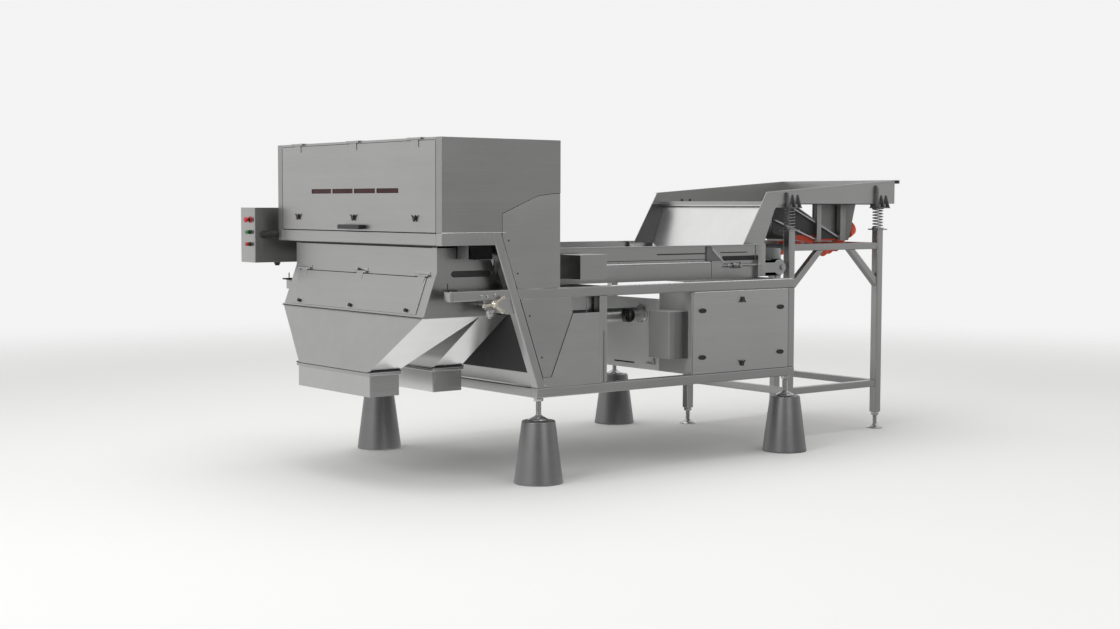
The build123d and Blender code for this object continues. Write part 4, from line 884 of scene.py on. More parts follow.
def makeHandle():
    shape = handleShape
    low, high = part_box("door_handle")
    middle = (low + high) / 2 / mm + Vector((0, shape["shift"], 0))
    front = low.x / mm + shape["bar"] / 2
    size = (shape["bar"], shape["long"], shape["tall"])
    bar = block("doorHandlePull", size, (front, middle.y, middle.z), 0)
    inner = shape["long"] / 2 - shape["foot"]
    for side in (-1, 1):
        editAll(bar)
        bpy.ops.mesh.bisect(plane_co=(0, (middle.y + side * inner) * mm, 0), plane_no=(0, 1, 0))
    pickFaces(bar, lambda face: face.normal.x > 0.9 and abs(face.center.y - middle.y * mm) > inner * mm)
    pull((high.x - (front + shape["bar"] / 2) * mm, 0, 0))
    bevelled(cleanMesh(bar), shape["ease"], 4, 50)
    hang(bar, "blackPlastic", "head_door", "door_handle")


makeHandle()

# brass star handle of the splitter
starShape = {
    "arms": (30.0, 185.0, 323.0),  # degrees, seen from the near side
    "arm": (13.0, 46.0, 11.0),
    "armMiddle": (0, 23, 7),
    "knob": [  # steps beyond the arm: way, growth, centre
        ((0, 0.018, 0), (1.5, 1, 1.2), (0, 0.064, 0.007)),
        ((0, 0.006, 0), (0.7, 1, 0.8), (0, 0.070, 0.007)),
    ],
    "hub": [(14.0, 0.0), (17.0, 1.5), (17.0, 10.0), (15.0, 13.0), (12.5, 14.0), (11.5, 18.0), (9.0, 21.5),
            (6.0, 22.6)],
}


def makeStar():
    shape = starShape
    parts = [turned("starHub", shape["hub"], 40)]
    for arm in shape["arms"]:
        rod = block("starArm", shape["arm"], shape["armMiddle"], 0)
        pickFaces(rod, facing("y", 1))
        for step in shape["knob"]:
            pull(*step)
        bevelled(rod, 2.6, 4)
        turn = radians(arm)
        parts.append(settle(rod, (0, 0, 0), upward, (cos(turn), sin(turn), 0)))
    pivot = joints["splitter_tilt"]["pos_m"]
    place = (pivot[0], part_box("star_handle")[1].y, pivot[2])
    star = settle(joined("splitterStar", parts), place, toNear, upward)
    hang(star, "paleBrass", "splitter", "star_handle")


makeStar()

# clamp that hangs under the splitter shaft on the near bearing plate
clampShape = {
    "place": (-1.449, -0.851, 0.850),
    "body": (40.0, 34.0, 22.0),
    "taper": (0.6, 1, 0.8),
    "taperAt": (0, -0.02, 0.011),
    "bolt": [(6.5, 21.5), (7.5, 22.2), (7.5, 26.5), (6.5, 27.4), (3.6, 27.4), (3.4, 24.5)],
    "stub": [(5.0, 0.0), (5.0, 4.0), (8.5, 5.0), (8.5, 9.0), (7.0, 10.5)],
    "stubPlace": (0, -0.014, 0.010),
}


def makeClamp():
    shape = clampShape
    body = block("clampBody", shape["body"], (0, 0, shape["body"][2] / 2), 0)
    pickFaces(body, facing("y", -1))
    bpy.ops.transform.resize(value=shape["taper"], center_override=shape["taperAt"])
    bevelled(body, 3.0)
    bolt = turned("clampBolt", shape["bolt"], 6)
    stub = settle(turned("clampStub", shape["stub"], 24), shape["stubPlace"], toNear, upward)
    hang(settle(joined("splitterClamp", [body, bolt, stub]), shape["place"], toNear, upward), "brightStud")


makeClamp()
print("handles modelled")

# cone feet and levelling feet
coneShape = {
    "profile": [(118, 0), (122.4, 1.2), (123, 3.5), (121.6, 10), (83.6, 301), (82, 306),
                (79, 308.4), (74, 309)],
    "pad": [(46, 0), (49, 0.8), (50, 2.5), (50, 5), (46, 8.5), (33, 15), (21, 21), (17, 25.5), (14.6, 26)],
    "thread": (14.0, 12.4, 3.0),  # crest radius, root radius, pitch
    "threadStart": 27.5,
    "nut": [(20.5, 0), (23.5, 1.4), (24, 3), (24, 17), (23.5, 18.6), (20.5, 20)],
    "tall": 114,  # feet of the machine, on the cones
    "short": 100,  # feet of the feeder, on the floor
}


def makeLevellingFoot(name, height):
    crest, root, pitch = coneShape["thread"]
    profile = list(coneShape["pad"])
    nutFoot = height - coneShape["nut"][-1][1]
    turn = coneShape["threadStart"]
    while turn < nutFoot:
        profile += [(root, turn), (crest, turn + pitch / 2)]
        turn += pitch
    profile.append((root, height))
    stud = turned(name, profile, 28)
    nut = turned(name + "Nut", coneShape["nut"], 6)
    settle(nut, (0, 0, nutFoot * mm))
    return joined(name, [stud, nut])


footSpots = [(x, y) for x in (-1.122, 0.608) for y in (-0.816, 0.654)]
postSpots = [(x, y) for x in (0.951, 1.723) for y in (-0.508, 0.346)]
cone = turned("conePattern", coneShape["profile"], 112)
hang(spread(cone, "footCones", [(x, y, 0) for x, y in footSpots]), "footSteel", node="foot_cones")
coneTop = coneShape["profile"][-1][1] * mm
tallFoot = makeLevellingFoot("tallFoot", coneShape["tall"])
tallFeet = spread(tallFoot, "machineFeet", [(x, y, coneTop) for x, y in footSpots])
shortFoot = makeLevellingFoot("shortFoot", coneShape["short"])
shortFeet = spread(shortFoot, "feederFeet", [(x, y, 0) for x, y in postSpots])
hang(joined("levellingFeet", [tallFeet, shortFeet]), "brightStud", node="levelling_feet")
print("feet modelled")


# coil springs
def makeCoil(name, radius, wire, turns, height, steps=26):  # round wire wound up the Z axis, sizes in mm
    letGo()
    bpy.ops.mesh.primitive_circle_add(
        vertices=12, radius=wire * mm, fill_type="NOTHING", rotation=(pi / 2, 0, 0),
    )
    coil = bpy.context.object
    coil.name = name
    coil.location = (radius * mm, 0, wire * mm)
    bpy.ops.object.transform_apply()
    wind = coil.modifiers.new("wind", "SCREW")
    wind.angle = 2 * pi * turns
    wind.screw_offset = (height - 2 * wire) * mm
    wind.steps = wind.render_steps = int(steps * turns)
    bpy.ops.object.modifier_apply(modifier="wind")
    bpy.ops.object.mode_set(mode="EDIT")
    bpy.ops.mesh.select_mode(type="VERT")
    bpy.ops.mesh.select_all(action="DESELECT")
    bpy.ops.mesh.select_non_manifold()
    bpy.ops.mesh.edge_face_add()
    return cleanMesh(coil)


springShape = {
    "radius": 30.0, "wire": 3.6, "turns": 6.5, "foot": 1.224, "seat": 1.348,
    "clear": 0.5,  # between the coil and its cups
    "cup": [(24, 0), (26, 0), (36, 0.4), (36.6, 1.2), (36.6, 5.2), (35.6, 6.0)],
}


def makeSprings():
    shape = springShape
    tall = (shape["seat"] - shape["foot"]) / mm
    coil = makeCoil("springCoil", shape["radius"], shape["wire"], shape["turns"], tall - 2 * shape["clear"])
    settle(coil, (0, 0, shape["clear"] * mm))
    lowCup = turned("springCup", shape["cup"], 40)
    highCup = settle(twin(lowCup, "springCap"), (0, 0, tall * mm), (0, 0, -1))
    pattern = joined("springPattern", [coil, lowCup, highCup])
    springs = spread(pattern, "traySprings", [(x, y, shape["foot"]) for x, y in postSpots])
    take(dress(springs, "springSteel"))
    bpy.ops.object.shade_smooth_by_angle(angle=radians(40))
    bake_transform(springs)
    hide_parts("tray_springs")


makeSprings()

# die springs and lock nuts on the take-up screws
takeUpShape = {
    "x": 0.376, "z": 1.032, "lines": (-0.6235, 0.4615),
    "radius": 13.0, "wire": 3.0, "turns": 4, "length": 50.0,
    "nut": [(15, 50), (17, 51.4), (17.6, 53), (17.6, 63), (17, 64.6), (15, 66)],
}


def makeTakeUpSprings():
    shape = takeUpShape
    coil = makeCoil("takeUpCoil", shape["radius"], shape["wire"], shape["turns"], shape["length"])
    nut = turned("takeUpNut", shape["nut"], 6)
    coil = settle(joined("takeUpCoil", [coil, nut]), (0, 0, 0), (1, 0, 0), upward)
    pair = spread(coil, "takeUpSprings", [(shape["x"], y, shape["z"]) for y in shape["lines"]])
    hang(pair, "springSteel")


makeTakeUpSprings()
print("springs wound")

# vibration motors with ribbed housings
motorShape = {
    "middle": (1.610, 1.152), "lines": (-0.256, 0.094),
    "axis": (0.866025, 0, 0.5), "plate": (-0.5, 0, 0.866025),
    "profile": [(22, -140), (33, -139), (37, -136), (38, -131), (38, -99), (44, -96), (45, -93), (45, -88),
                (45, 88), (45, 93), (44, 96), (38, 99), (38, 106), (46, 109), (54, 113), (56, 119), (56, 152),
                (54, 158), (46, 162), (24, 164)],
    "ribs": 22,
    "ribHeight": 0.0045,
    "ribEnds": 0.05,  # from the middle
    "boxes": [  # size, middle and edge of the foot, its pads, the terminal box and its lid
        ((100, 31, 120), (0, 35.5, 0), 3.0),
        ((26, 10, 122), (-50, 45.5, 0), 2.0),
        ((26, 10, 122), (50, 45.5, 0), 2.0),
        ((54, 22, 68), (0, -47, 0), 2.5),
        ((58, 4, 72), (0, -59, 0), 1.4),
    ],
    "gland": [(9, 0), (10, 1), (10, 9), (8.5, 11), (6, 16), (4, 17)],
    "glandPlace": (0, -0.048, -0.034),
    "screw": [(6.5, 0), (7.2, 0.8), (7.2, 5), (6.4, 6)],
    "screwPlace": (0.052, 0.0405, 0.044),
}


def makeMotor():
    shape = motorShape
    body = turned("motorBody", shape["profile"], 2 * shape["ribs"])
    half = pi / shape["ribs"]

    def onRib(face):
        turn = Vector((1, 0)).angle_signed(face.center.xy, 0.0) % (2 * half)
        return abs(face.center.z) < shape["ribEnds"] and abs(face.normal.z) < 0.1 and turn < half

    pickFaces(body, onRib)
    bpy.ops.mesh.extrude_faces_move(TRANSFORM_OT_shrink_fatten={"value": shape["ribHeight"]})
    cleanMesh(body)
    boxes = [block("motorBox", *box) for box in shape["boxes"]]
    gland = settle(turned("motorGland", shape["gland"], 24), shape["glandPlace"], (0, 0, -1))
    x, y, z = shape["screwPlace"]
    spots = [(side * x, y, end * z) for side in (-1, 1) for end in (-1, 1)]
    screws = studs("motorScrews", shape["screw"], toNear, spots)
    return joined("motorPattern", [body, *boxes, gland, screws])


def makeMotors():
    x, z = motorShape["middle"]
    motor = settle(makeMotor(), (0, 0, 0), motorShape["axis"], motorShape["plate"])
    pair = spread(motor, "vibrationMotors", [(x, y, z) for y in motorShape["lines"]])
    hang(pair, "motorOrange", "tray", "vibration_motors")


makeMotors()
print("motors modelled")

# air duct with its flanges and the black port on its near side
ductShape = {
    "start": (-1.002, -0.450, 0.774),
    "profile": [(35, 680), (35, 1), (36, 0), (49, 0), (50, 1), (50, 9), (49, 10), (38.4, 10.5), (38, 13),
                (38, 296), (40, 298), (40.6, 300), (40, 302), (38, 304), (38, 556), (40, 558), (40.6, 560),
                (40, 562), (38, 564), (38, 857), (38.4, 859.5), (49, 860), (50, 861), (50, 869.6)],
    "portX": -0.272,
    "port": [(29, 20), (31.6, 21.5), (31.6, 61), (32.6, 63.4), (34.6, 64), (36, 62.6), (36, 55), (34.8, 54),
             (34.8, 47), (36, 46), (36, 0)],
    "vane": (3.0, 61.0, 22.0),
    "vaneLift": 44.0,
    "pin": [(4.0, -33), (4.6, -32), (4.6, 32), (4.0, 33)],
    "bolt": [(4.6, 0), (5.0, 0.5), (5.0, 3.4), (4.4, 4.0)],
    "bolts": 8,
    "boltCircle": 0.044,
    "boltStep": 0.8598,  # from the start to the flange
}


def makeDuct():
    shape = ductShape
    x, y, z = shape["start"]
    pipe = turned("airDuctPipe", shape["profile"], 56)
    hang(settle(pipe, shape["start"], (1, 0, 0), upward), "ductSteel", node="air_duct")
    collar = turned("portCollar", shape["port"], 48)
    vane = block("portVane", shape["vane"], (0, 0, shape["vaneLift"]), 1.2)
    pin = settle(turned("portPin", shape["pin"], 16), (0, 0, shape["vaneLift"] * mm), (0, 1, 0), upward)
    port = joined("airPort", [collar, vane, pin])
    hang(settle(port, (shape["portX"], y, z), toNear, upward), "blackPlastic")
    spots = []
    for step in range(shape["bolts"]):
        turn = (step + 0.5) * 2 * pi / shape["bolts"]
        across, rise = shape["boltCircle"] * cos(turn), shape["boltCircle"] * sin(turn)
        spots.append((x + shape["boltStep"], y + across, z + rise))
    hang(studs("flangeBolts", shape["bolt"], toFront, spots), "brightStud")


makeDuct()

# corrugated conduit to the control box, with hex glands at its ends and one under the box
conduitShape = {
    "start": (-1.690, 0.699, 1.202), "end": (-1.770, 0.780, 1.202), "pull": 0.046, "core": 14.6,
    "ribs": 13,
    "ribSpan": (0.10, 0.80),  # where the first rib stands and how far the others reach, along the way
    "rib": [(14.0, -2.4), (17.8, -1.8), (18.8, -0.9), (18.8, 0.9), (17.8, 1.8), (14.0, 2.4)],
    "hex": [(21, 0), (22.6, 0.8), (23, 2), (23, 8), (22.4, 9), (19, 10.5), (17, 12)],
    "under": (-1.655, 0.840, 1.050),
    "underHex": [(15.4, 0), (17, 0.8), (17, 9), (16, 10), (13, 12), (12.4, 18.6), (9, 20)],
}


def makeConduit():
    shape = conduitShape
    start, end = Vector(shape["start"]), Vector(shape["end"])
    lead = start + Vector((0, shape["pull"], 0))
    trail = end - Vector((0, shape["pull"], 0))
    letGo()
    bpy.ops.curve.primitive_bezier_curve_add()
    path = bpy.context.object
    first, last = path.data.splines[0].bezier_points
    first.co, first.handle_left, first.handle_right = start, start * 2 - lead, lead
    last.co, last.handle_left, last.handle_right = end, trail, end * 2 - trail
    path.data.bevel_depth = shape["core"] * mm
    path.data.bevel_resolution = 6
    path.data.resolution_u = 24
    bpy.ops.object.convert(target="MESH")
    path.name = "conduitCore"
    parts = [path]
    begin, reach = shape["ribSpan"]
    for number in range(shape["ribs"]):
        t = begin + reach * number / (shape["ribs"] - 1)
        u = 1 - t
        spot = start * u ** 3 + lead * 3 * u * u * t + trail * 3 * u * t * t + end * t ** 3
        way = (lead - start) * 3 * u * u + (trail - lead) * 6 * u * t + (end - trail) * 3 * t * t
        rib = turned(f"conduitRib_{number}", shape["rib"], 32)
        parts.append(settle(rib, spot, way, upward))
    nearHex = turned("conduitHexFrame", shape["hex"], 6)
    farHex = twin(nearHex, "conduitHexBox")
    parts.append(settle(nearHex, start, (0, 1, 0), upward))
    parts.append(settle(farHex, end, toNear, upward))
    parts.append(settle(turned("underGland", shape["underHex"], 6), shape["under"], (0, 0, -1)))
    hang(joined("controlConduit", parts), "softRubber", node="control_conduit")


makeConduit()

# push buttons, their black collars and the red ring of the stop button
buttonShape = {
    "face": -1.822, "y": 0.830,
    "stop": [(5.9, -25), (5.9, 19.5), (9, 20.4), (14, 21.6), (15.2, 23), (15.6, 25.5), (15, 29.5), (13, 33),
             (9.5, 35), (5, 35.6)],
    "cap": [(5.9, -25), (5.9, 18.6), (9.8, 19.4), (10.6, 20.4), (10.6, 26), (9.8, 28.2), (7.8, 29.4),
            (6.9, 28.6)],
    "collar": [(7, 13.6), (7, 14), (7.6, 14.2), (9, 14.2), (9.8, 13.4), (10, 12), (10, 3.4), (11.6, 2.8),
               (12.2, 2), (12.2, 0.2)],
    "ring": [(16.4, 0.2), (17.4, 0.8), (17.4, 3), (16.4, 4), (13, 4.4), (12.4, 3.4), (12.4, 0.4)],
}
for name, finish, profile, height in (
    ("e_stop", "stopRed", "stop", 1.281),
    ("green_button", "startGreen", "cap", 1.214),
    ("red_button", "stopRed", "cap", 1.149),
):
    spot = (buttonShape["face"], buttonShape["y"], height)
    hang(settle(turned(name + "_cap", buttonShape[profile], 44), spot, toFront, upward), finish, name, name)
    collar = settle(turned(name + "_collar", buttonShape["collar"], 40), spot, toFront, upward)
    if name == "e_stop":
        hang(settle(turned("stopRing", buttonShape["ring"], 48), spot, toFront, upward), "stopRed")
    hang(collar, "blackPlastic")
print("duct, conduit and buttons modelled")

# screws and bolts on the covers, the rail and the slot
fixingShape = {
    "screw": [(4.0, 0), (4.5, 0.5), (4.5, 1.4), (3.7, 2.6), (2.2, 2.9), (2.0, 2.2)],
    "bolt": [(8.0, 0), (8.6, 0.6), (8.6, 1.4), (6.4, 1.6), (6.4, 5.6), (5.6, 6.4)],
    "seam": [(-1.354, 1.194), (-1.299, 1.035), (-1.227, 0.828), (-1.152, 0.623)],
    "rail": [(-1.497, 0.932), (-1.462, 0.929), (-1.420, 0.936)],
    "slot": [(-1.548, 1.035), (-1.376, 1.035)],
    "sides": ((-1, -0.861, -0.749), (1, 0.699, 0.587)),  # way, face of the covers, wall of the hood
    "seamStep": 0.016,
    "slotSink": 0.004,
}


def makeFixings():
    shape = fixingShape
    screw = turned("screwPattern", shape["screw"], 24)
    bolt = turned("boltPattern", shape["bolt"], 6)
    screws, bolts = [], []
    for side, face, wall in shape["sides"]:
        way = (0, side, 0)
        for kind, pattern, step, depth, done in (
            ("seam", screw, shape["seamStep"], face, screws), ("rail", bolt, 0, face, bolts),
            ("slot", screw, 0, wall - side * shape["slotSink"], screws),
        ):
            for x, z in shape[kind]:
                done.append(settle(twin(pattern, kind + "Fixing"), (x + step, depth, z), way, upward))
    scrap(screw)
    scrap(bolt)
    hang(joined("coverScrews", screws), "blackPlastic")
    hang(joined("railBolts", bolts), "brightStud")


makeFixings()

# black stay and rubber seals along the edges of the hood flap; the strip along its top edge is a painted
# shadow line
padShape = ((30.0, 12.0, 5.0), 2.6, 1.4)
flapTopShape = {
    "bend": (-1.675, 1.048),
    "stay": (88.0, 19.0, 9.0),
    "stayLift": 4.1,
    "stayPlace": (-0.0975, 11.0),
    "stayTaper": (1, 0.12, 0.5),
    "stayTaperAt": (0, -0.0095, 0),
    "screwPlace": (-0.024, 0.001, 0.0072),
    "sealsAndShadowLine": [  # size, lift, edge, then place across and down the slanted face
        # the first strip, along the flap's top edge, is a painted shadow line
        ((1200.0, 4.4, 2.4), 1.2, 0.8, (-0.081, 29.4)),
        ((1336.0, 5.0, 2.6), 8.6, 0.9, (-0.081, 231.0)),
        (*padShape, (-0.628, 24.0)), (*padShape, (-0.672, 27.0)),
        (*padShape, (0.466, 24.0)), (*padShape, (0.510, 27.0)),
    ],
}


def makeFlapTop():
    shape = flapTopShape
    outward = Vector(joints["flap_knob_2_turn"]["axis"])
    up = Vector((outward.z, 0, -outward.x))  # up the slanted face

    def onFace(place):
        y, drop = place
        return Vector((shape["bend"][0], y, shape["bend"][1])) - up * drop * mm

    stay = block("flapStay", shape["stay"], (0, 0, shape["stayLift"]), 0)
    pickFaces(stay, facing("x", 1))  # tapers to a tip
    bpy.ops.transform.resize(value=shape["stayTaper"], center_override=shape["stayTaperAt"])
    bevelled(stay, 1.6)
    screw = settle(turned("stayScrew", fixingShape["screw"], 24), shape["screwPlace"])
    stay = joined("flapStay", [stay, screw])
    hang(settle(stay, onFace(shape["stayPlace"]), outward, up), "blackPlastic")
    sealsAndShadowLine = []
    for size, lift, ease, place in shape["sealsAndShadowLine"]:
        sealsAndShadowLine.append(settle(block("flapRubbersAndShadowLine", size, (0, 0, lift), ease), onFace(place), outward, up))
    hang(joined("flapRubbersAndShadowLine", sealsAndShadowLine), "softRubber")


makeFlapTop()

# black stop plates with a pin, and caps, on the front ends of the middle rails
stopShape = {
    "plate": (72.0, 42.0, 8.0),
    "lift": 4.1,
    "spots": [(-1.667, -0.836), (-1.667, 0.674)],
    "top": 0.960,
    "pin": [(3.0, 7), (3.0, 35.5), (2.2, 37)],
    "pinPlace": (-0.007, 0, 0),
    "cap": (18.0, 50.0, 50.0),
    "capSpots": [(-1668, -836, 935), (-1668, 674, 935)],
    "capRim": (0.004, -0.0012),  # width, and how far the middle stands out
}


def makeRailStops():
    shape = stopShape
    plate = block("stopPlate", shape["plate"], (0, 0, shape["lift"]), 1.4)
    pin = settle(turned("stopPin", shape["pin"], 20), shape["pinPlace"])
    pattern = joined("stopPattern", [plate, pin])
    hang(spread(pattern, "railStops", [(x, y, shape["top"]) for x, y in shape["spots"]]), "blackPlastic")
    caps = []
    rim, step = shape["capRim"]
    for spot in shape["capSpots"]:
        cap = block("railCap", shape["cap"], spot, 0)
        pickFaces(cap, facing("x", -1))
        bpy.ops.mesh.inset(thickness=rim)
        bpy.ops.transform.translate(value=(step, 0, 0))
        caps.append(bevelled(cap, 2.4, 3, 50))
    hang(joined("railCaps", caps), "sideSteel")


makeRailStops()

# lens barrels of the cameras
lensShape = {
    "spots": [(-1.322, y) for y in (-0.591, -0.251, 0.089, 0.429)],
    "barrel": [(17, 6), (19, 2), (22, 0), (25, 0), (26, 1), (26, 12), (25, 13), (25, 16), (26, 17), (26, 30),
               (25, 31)],
    "barrelFoot": 1.371,
    "glass": [(18.2, 5.0), (18.2, 5.6), (12, 7.2), (5, 7.8)],
    "glassFoot": 1.3705,
}


def makeLenses():
    for kind, name, finish in (("barrel", "lensBarrels", "cameraBlack"), ("glass", "lensPanes", "lensGlass")):
        pattern = turned(kind + "Pattern", lensShape[kind], 44)
        spots = [(x, y, lensShape[kind + "Foot"]) for x, y in lensShape["spots"]]
        hang(spread(pattern, name, spots), finish)


makeLenses()

# rubber beads round the front door, a gasket drawn dark that also stands for the shade in its gaps, and a
# black strip above the hood that is a painted shadow line
sealShape = {
    "front": -1722.4, "top": 1660.0, "deep": 2.2, "bead": 2.4, "gap": 2.0,
    "hood": (-1676.6, -81.0, 1166.0), "hoodSize": (3.0, 1336.0, 9.0),
}


def makeDoorSeals():
    shape = sealShape
    low, high = (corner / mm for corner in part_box("head_door"))
    edge = shape["gap"] + shape["bead"] / 2
    x = shape["front"] + shape["deep"] / 2
    tall = shape["top"] - low.z + edge
    wide = high.y - low.y + 2 * edge
    rows = [((shape["deep"], wide, shape["bead"]), (x, (low.y + high.y) / 2, low.z - edge))]
    for y in (low.y - edge, high.y + edge):
        rows.append(((shape["deep"], shape["bead"], tall), (x, y, shape["top"] - tall / 2)))
    beads = blocks("doorBead", rows, 0.6)
    # black strip above the hood: painted shadow line
    beads.append(block("hoodShadowLine", shape["hoodSize"], shape["hood"]))
    hang(joined("doorGasketsAndShadowLines", beads), "softRubber")


makeDoorSeals()

# plates behind the openings: dark plates behind the slots of the hood walls and a dark flap behind the slot
# of the bay panel, painted shade where the openings show only shade; strap and hanger at the cable window of
# the near side
backingShape = {
    "slot": (262.0, 4.0, 50.0), "slotSpots": [(-1477.0, -742.5, 1035.0), (-1477.0, 580.5, 1035.0)],
    "flap": (2.0, 190.0, 22.0), "flapSpot": (-127.4, -303.0, 503.0),
    "strap": (66.0, 4.0, 86.0), "strapSpot": (-776.0, -800.0, 868.0),
    "strapCut": ((-0.809, 0, 0.832), (-0.62, 0, -0.78)),  # a place on the cut and the side that goes
    "bolt": [(5.0, 0), (5.6, 0.6), (5.6, 2.6), (4.6, 3.4)],
    "boltSpots": [(-0.770, -0.802, 0.890), (-0.770, -0.802, 0.862)],
    "hanger": (36.0, 6.0, 92.0), "hangerSpot": (-751.0, -806.0, 866.0),
}


def makeBackings():
    shape = backingShape
    # dark plates and flap behind the slots: painted shade
    slots = [block("slotShadePlate", shape["slot"], spot) for spot in shape["slotSpots"]]
    hang(joined("slotShadePlates", slots), "darkCast")
    hang(block("slotShadeFlap", shape["flap"], shape["flapSpot"], 0.6), "softRubber")
    strap = block("cableStrap", shape["strap"], shape["strapSpot"], 0)
    cutAway(strap, *shape["strapCut"])
    hang(bevelled(strap, 1.0), "sideSteel")
    hanger = block("cableHanger", shape["hanger"], shape["hangerSpot"], 1.2)
    bolts = studs("strapBolts", shape["bolt"], toNear, shape["boltSpots"])
    hang(joined("cableHanger", [hanger, bolts]), "darkCast")


makeBackings()

# trim of the near side: dark seams and painted shadow lines, folds, painted highlight strips along edges,
# plates at the conveyor's tail, trim of the tray
overNear, overFar = (0, -0.707, 0.707), (0, 0.707, 0.707)
trimShape = {
    # dark strips: seams and grooves of the side plates; the strip under the hem at height 1069 and the wide
    # strip over the take-up are painted shadow
    "seamAndShadowRows": [((3.2, 1.2, 258.0), (-743.5, -861.5, 605.0)), ((744.0, 1.2, 3.4), (-178.0, -611.5, 1069.0)),
              ((353.0, 1.2, 6.5), (8.5, -611.5, 1100.0)), ((205.0, 1.2, 5.0), (402.0, -611.5, 1103.0)),
              ((250.0, 1.6, 26.0), (440.0, -611.7, 1071.0))],
    "coverSeams": [((334.0, 4.5, 1.2), (-1.0110, -0.8615, 0.6770), toNear, (-0.917, 0, 0.3986))],
    "folds": [  # corner of the cabinet, then the L-shaped rest on the bay panel
        ((13.0, 3.0, 428.0), (-140.0, -858.5, 690.0)),
        ((14.0, 66.0, 5.0), (-139.2, -530.0, 507.5)),
        ((14.0, 5.0, 35.0), (-139.2, -560.5, 522.5)),
    ],
    "gusset": ((126.0, 7.0, 82.0), (253.0, -614.6, 1098.0)),
    "gussetCut": ((0.2745, -0.617, 1.0905), (0.67, 0, 0.741)),
    # thin bars along edges in the near-white finish: painted highlight lines
    "bright": [
        ((116.0, 9.0, 9.0), (0.2745, -0.619, 1.0905), (0.474, -0.707, 0.524), (0.474, 0.707, 0.524)),
        ((748.0, 7.0, 7.0), (-0.176, -0.6352, 1.0522), overNear, overFar),
        ((366.0, 3.0, 3.0), (-1.538, -0.8612, 1.2325), overNear, overFar),
        ((1312.0, 5.0, 5.0), (-0.044, -0.8600, 0.9592), overNear, overFar),
    ],
    # rims along the top edges of the tray webs, in the near-white finish: painted highlight
    "highlightRims": [
        ((470.0, 9.0, 9.0), (1.317, -0.3815, 1.2600), (0.2846, -0.7071, 0.6474), (0.2846, 0.7071, 0.6474)),
        ((360.0, 9.0, 9.0), (1.134, -0.3815, 1.2215), (0.2250, -0.7071, 0.6704), (0.2250, 0.7071, 0.6704)),
    ],
    "plates": [((215.0, 6.0, 58.0), (637.5, 426.0, 1117.0)), ((76.0, 4.0, 184.0), (610.0, -613.5, 1058.0))],
    "back": ((5.0, 930.0, 134.0), (838.0, -81.0, 1052.0)),
    # dark strip under the tray's bottom edge, a painted shadow
    "under": ((830.0, 10.0, 13.0), (1330.0, -538.0, 1376.0)),
    "wallBolts": [(0.923, 0.3838, 1.396), (0.991, 0.3838, 1.396)],
    "cheekThick": 3.0,
    "cheekStep": 2.0,  # in front of the bar
    "cheekEnd": -753.0,  # where the end cheek of the ejector stops
    # a painted highlight strip along the top edge of the cabinet cover
    "coverHighlightStrip": (24.0, 4.0),  # how much shorter than the cover, and how thick
    "coverHighlightShift": (0, 0.0012, -0.001),
}


def makeTrim():
    shape = trimShape
    # seams, and dark strips that are painted shadow lines
    seamAndShadowRows = blocks("nearSeamAndShadowStrip", shape["seamAndShadowRows"], 0.4) + strips("nearSeamAndShadowStrip", shape["coverSeams"], 0.4)
    hang(joined("nearSeamsAndShadowLines", seamAndShadowRows), "softRubber")
    hang(joined("sheetFolds", blocks("trimStrip", shape["folds"], 1.2)), "sideSteel")
    gusset = block("tailGusset", *shape["gusset"], 0)
    cutAway(gusset, *shape["gussetCut"])
    hang(bevelled(gusset, 1.2), "castPlate")
    # painted highlight strips along the edges
    hang(joined("paintedHighlightStrips", strips("paintedHighlightStrip", shape["bright"], 0.8)), "brightEdge")
    # rims on the webs with a painted highlight
    hang(joined("webHighlightRims", strips("webHighlightRim", shape["highlightRims"], 1.2)), "brightEdge", "tray")
    hang(joined("tailPlates", blocks("tailPlate", shape["plates"], 1.5)), "sideSteel")
    hang(block("tailBack", *shape["back"], 1.5), "zincPlate")
    # dark strip under the tray: painted shadow
    hang(block("trayUnderShadow", *shape["under"], 2.0), "darkCast", "tray")
    hang(studs("wallBolts", fixingShape["bolt"], toNear, shape["wallBolts"]), "blackPlastic", "tray")
    low, high = (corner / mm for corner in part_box("ejector_bar"))
    size = (shape["cheekThick"], shape["cheekEnd"] - low.y, high.z - low.z)
    middle = (low.x - shape["cheekStep"], (low.y + shape["cheekEnd"]) / 2, (low.z + high.z) / 2)
    hang(block("ejectorCheek", size, middle), "castPlate")
    # near-white strip along the top edge of the cabinet cover: a painted highlight
    low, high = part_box("cabinet_door")
    shorter, thick = shape["coverHighlightStrip"]
    trimStrip = block("coverHighlightStrip", ((high.x - low.x) / mm - shorter, thick, thick), (0, 0, 0), 0.8)
    spot = Vector(((low.x + high.x) / 2, low.y, high.z)) + Vector(shape["coverHighlightShift"])
    hang(settle(trimStrip, spot, overNear, overFar), "brightEdge", "cabinet_door")


makeTrim()

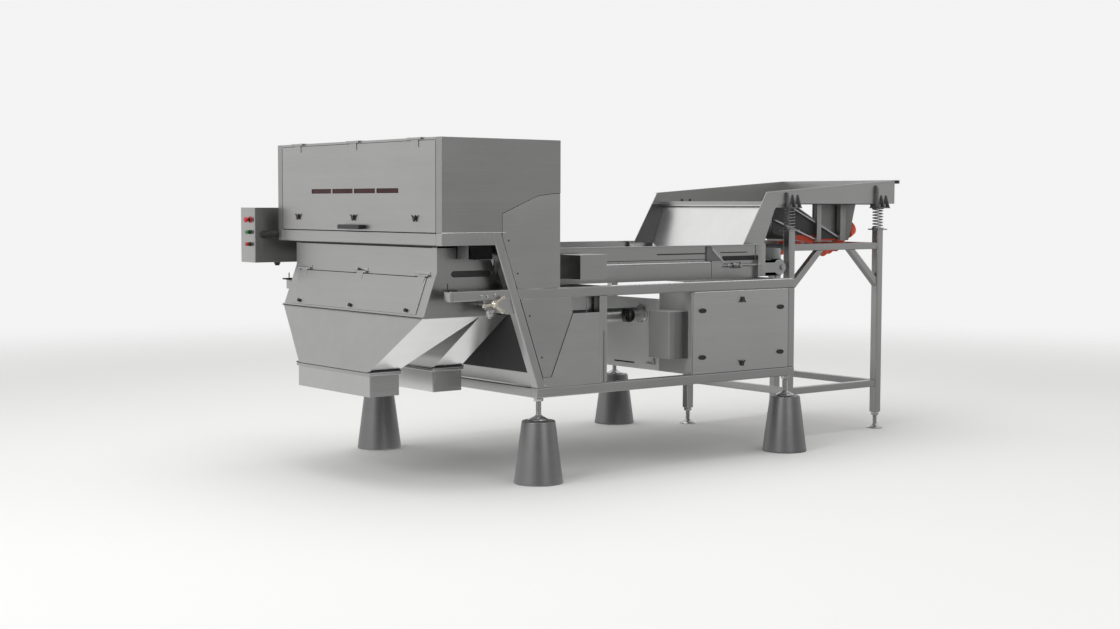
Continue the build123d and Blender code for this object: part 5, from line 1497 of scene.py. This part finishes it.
# rounded beads where the funnels meet their spouts, with a dark strip above each that is a painted shadow
# line
beadShape = {
    "roll": (546.0, 17.0, 6.0),  # middle height, height and edge of the bright roll
    "seam": (557.5, 6.5, 1.0),  # the same for the dark strip above it, a painted shadow line
    "line": 2.0,  # height of that shadow line along the fronts
    "thick": 13.0,
    "fronts": (-1851.0, -1481.0),
    "deep": 173.0,
    "wide": 693.0,
    "middle": -81.0,
}


def makeSpoutBeads():
    shape = beadShape
    thick, middle = shape["thick"], shape["middle"]
    # dark strips above the rolls: painted shadow lines
    for name, kind, finish in (("spoutBeads", "roll", "acrossSteel"), ("spoutShadowLines", "seam", "darkCast")):
        height, tall, edge = shape[kind]
        along = shape["line"] if kind == "seam" else tall
        bars = []
        for front in shape["fronts"]:
            for x in (front, front + shape["deep"]):
                spot = (x, middle, height - (tall - along) / 2)
                size = (thick, shape["wide"] - thick, along)
                bars.append(block("beadBar", size, spot, min(edge, along / 3), 5))
            for y in (middle - shape["wide"] / 2, middle + shape["wide"] / 2):
                spot = (front + shape["deep"] / 2, y, height)
                bars.append(block("beadBar", (shape["deep"] + thick, thick, tall), spot, edge, 5))
        hang(joined(name, bars), finish)


makeSpoutBeads()

# upright fins on the spring seats, outside the tray walls
finShape = {
    "thick": 8.0, "reach": 21.0, "low": 1354.5, "step": -72.0, "tip": 24.0, "tipWidth": 0.25,
    "posts": ((951.0, 1438.0), (1723.0, 1485.0)),  # x of the post, height of the fin's tip
    "walls": ((-551.0, -1), (389.0, 1)),
}


def makeFins():
    shape = finShape
    fins = []
    for post, top in shape["posts"]:
        for wall, side in shape["walls"]:
            high = top - shape["tip"] - shape["low"]
            spot = (post + shape["step"], wall + side * shape["reach"] / 2, shape["low"] + high / 2)
            fin = block("seatFin", (shape["thick"], shape["reach"], high), spot, 0)
            pickFaces(fin, facing("z", 1))  # a pointed top
            pull((0, 0, shape["tip"] * mm), (1, shape["tipWidth"], 1), (0, spot[1] * mm, 0))
            fins.append(bevelled(fin, 1.2, 2))
    hang(joined("seatFins", fins), "castPlate", "tray")


makeFins()
print("small fittings modelled")
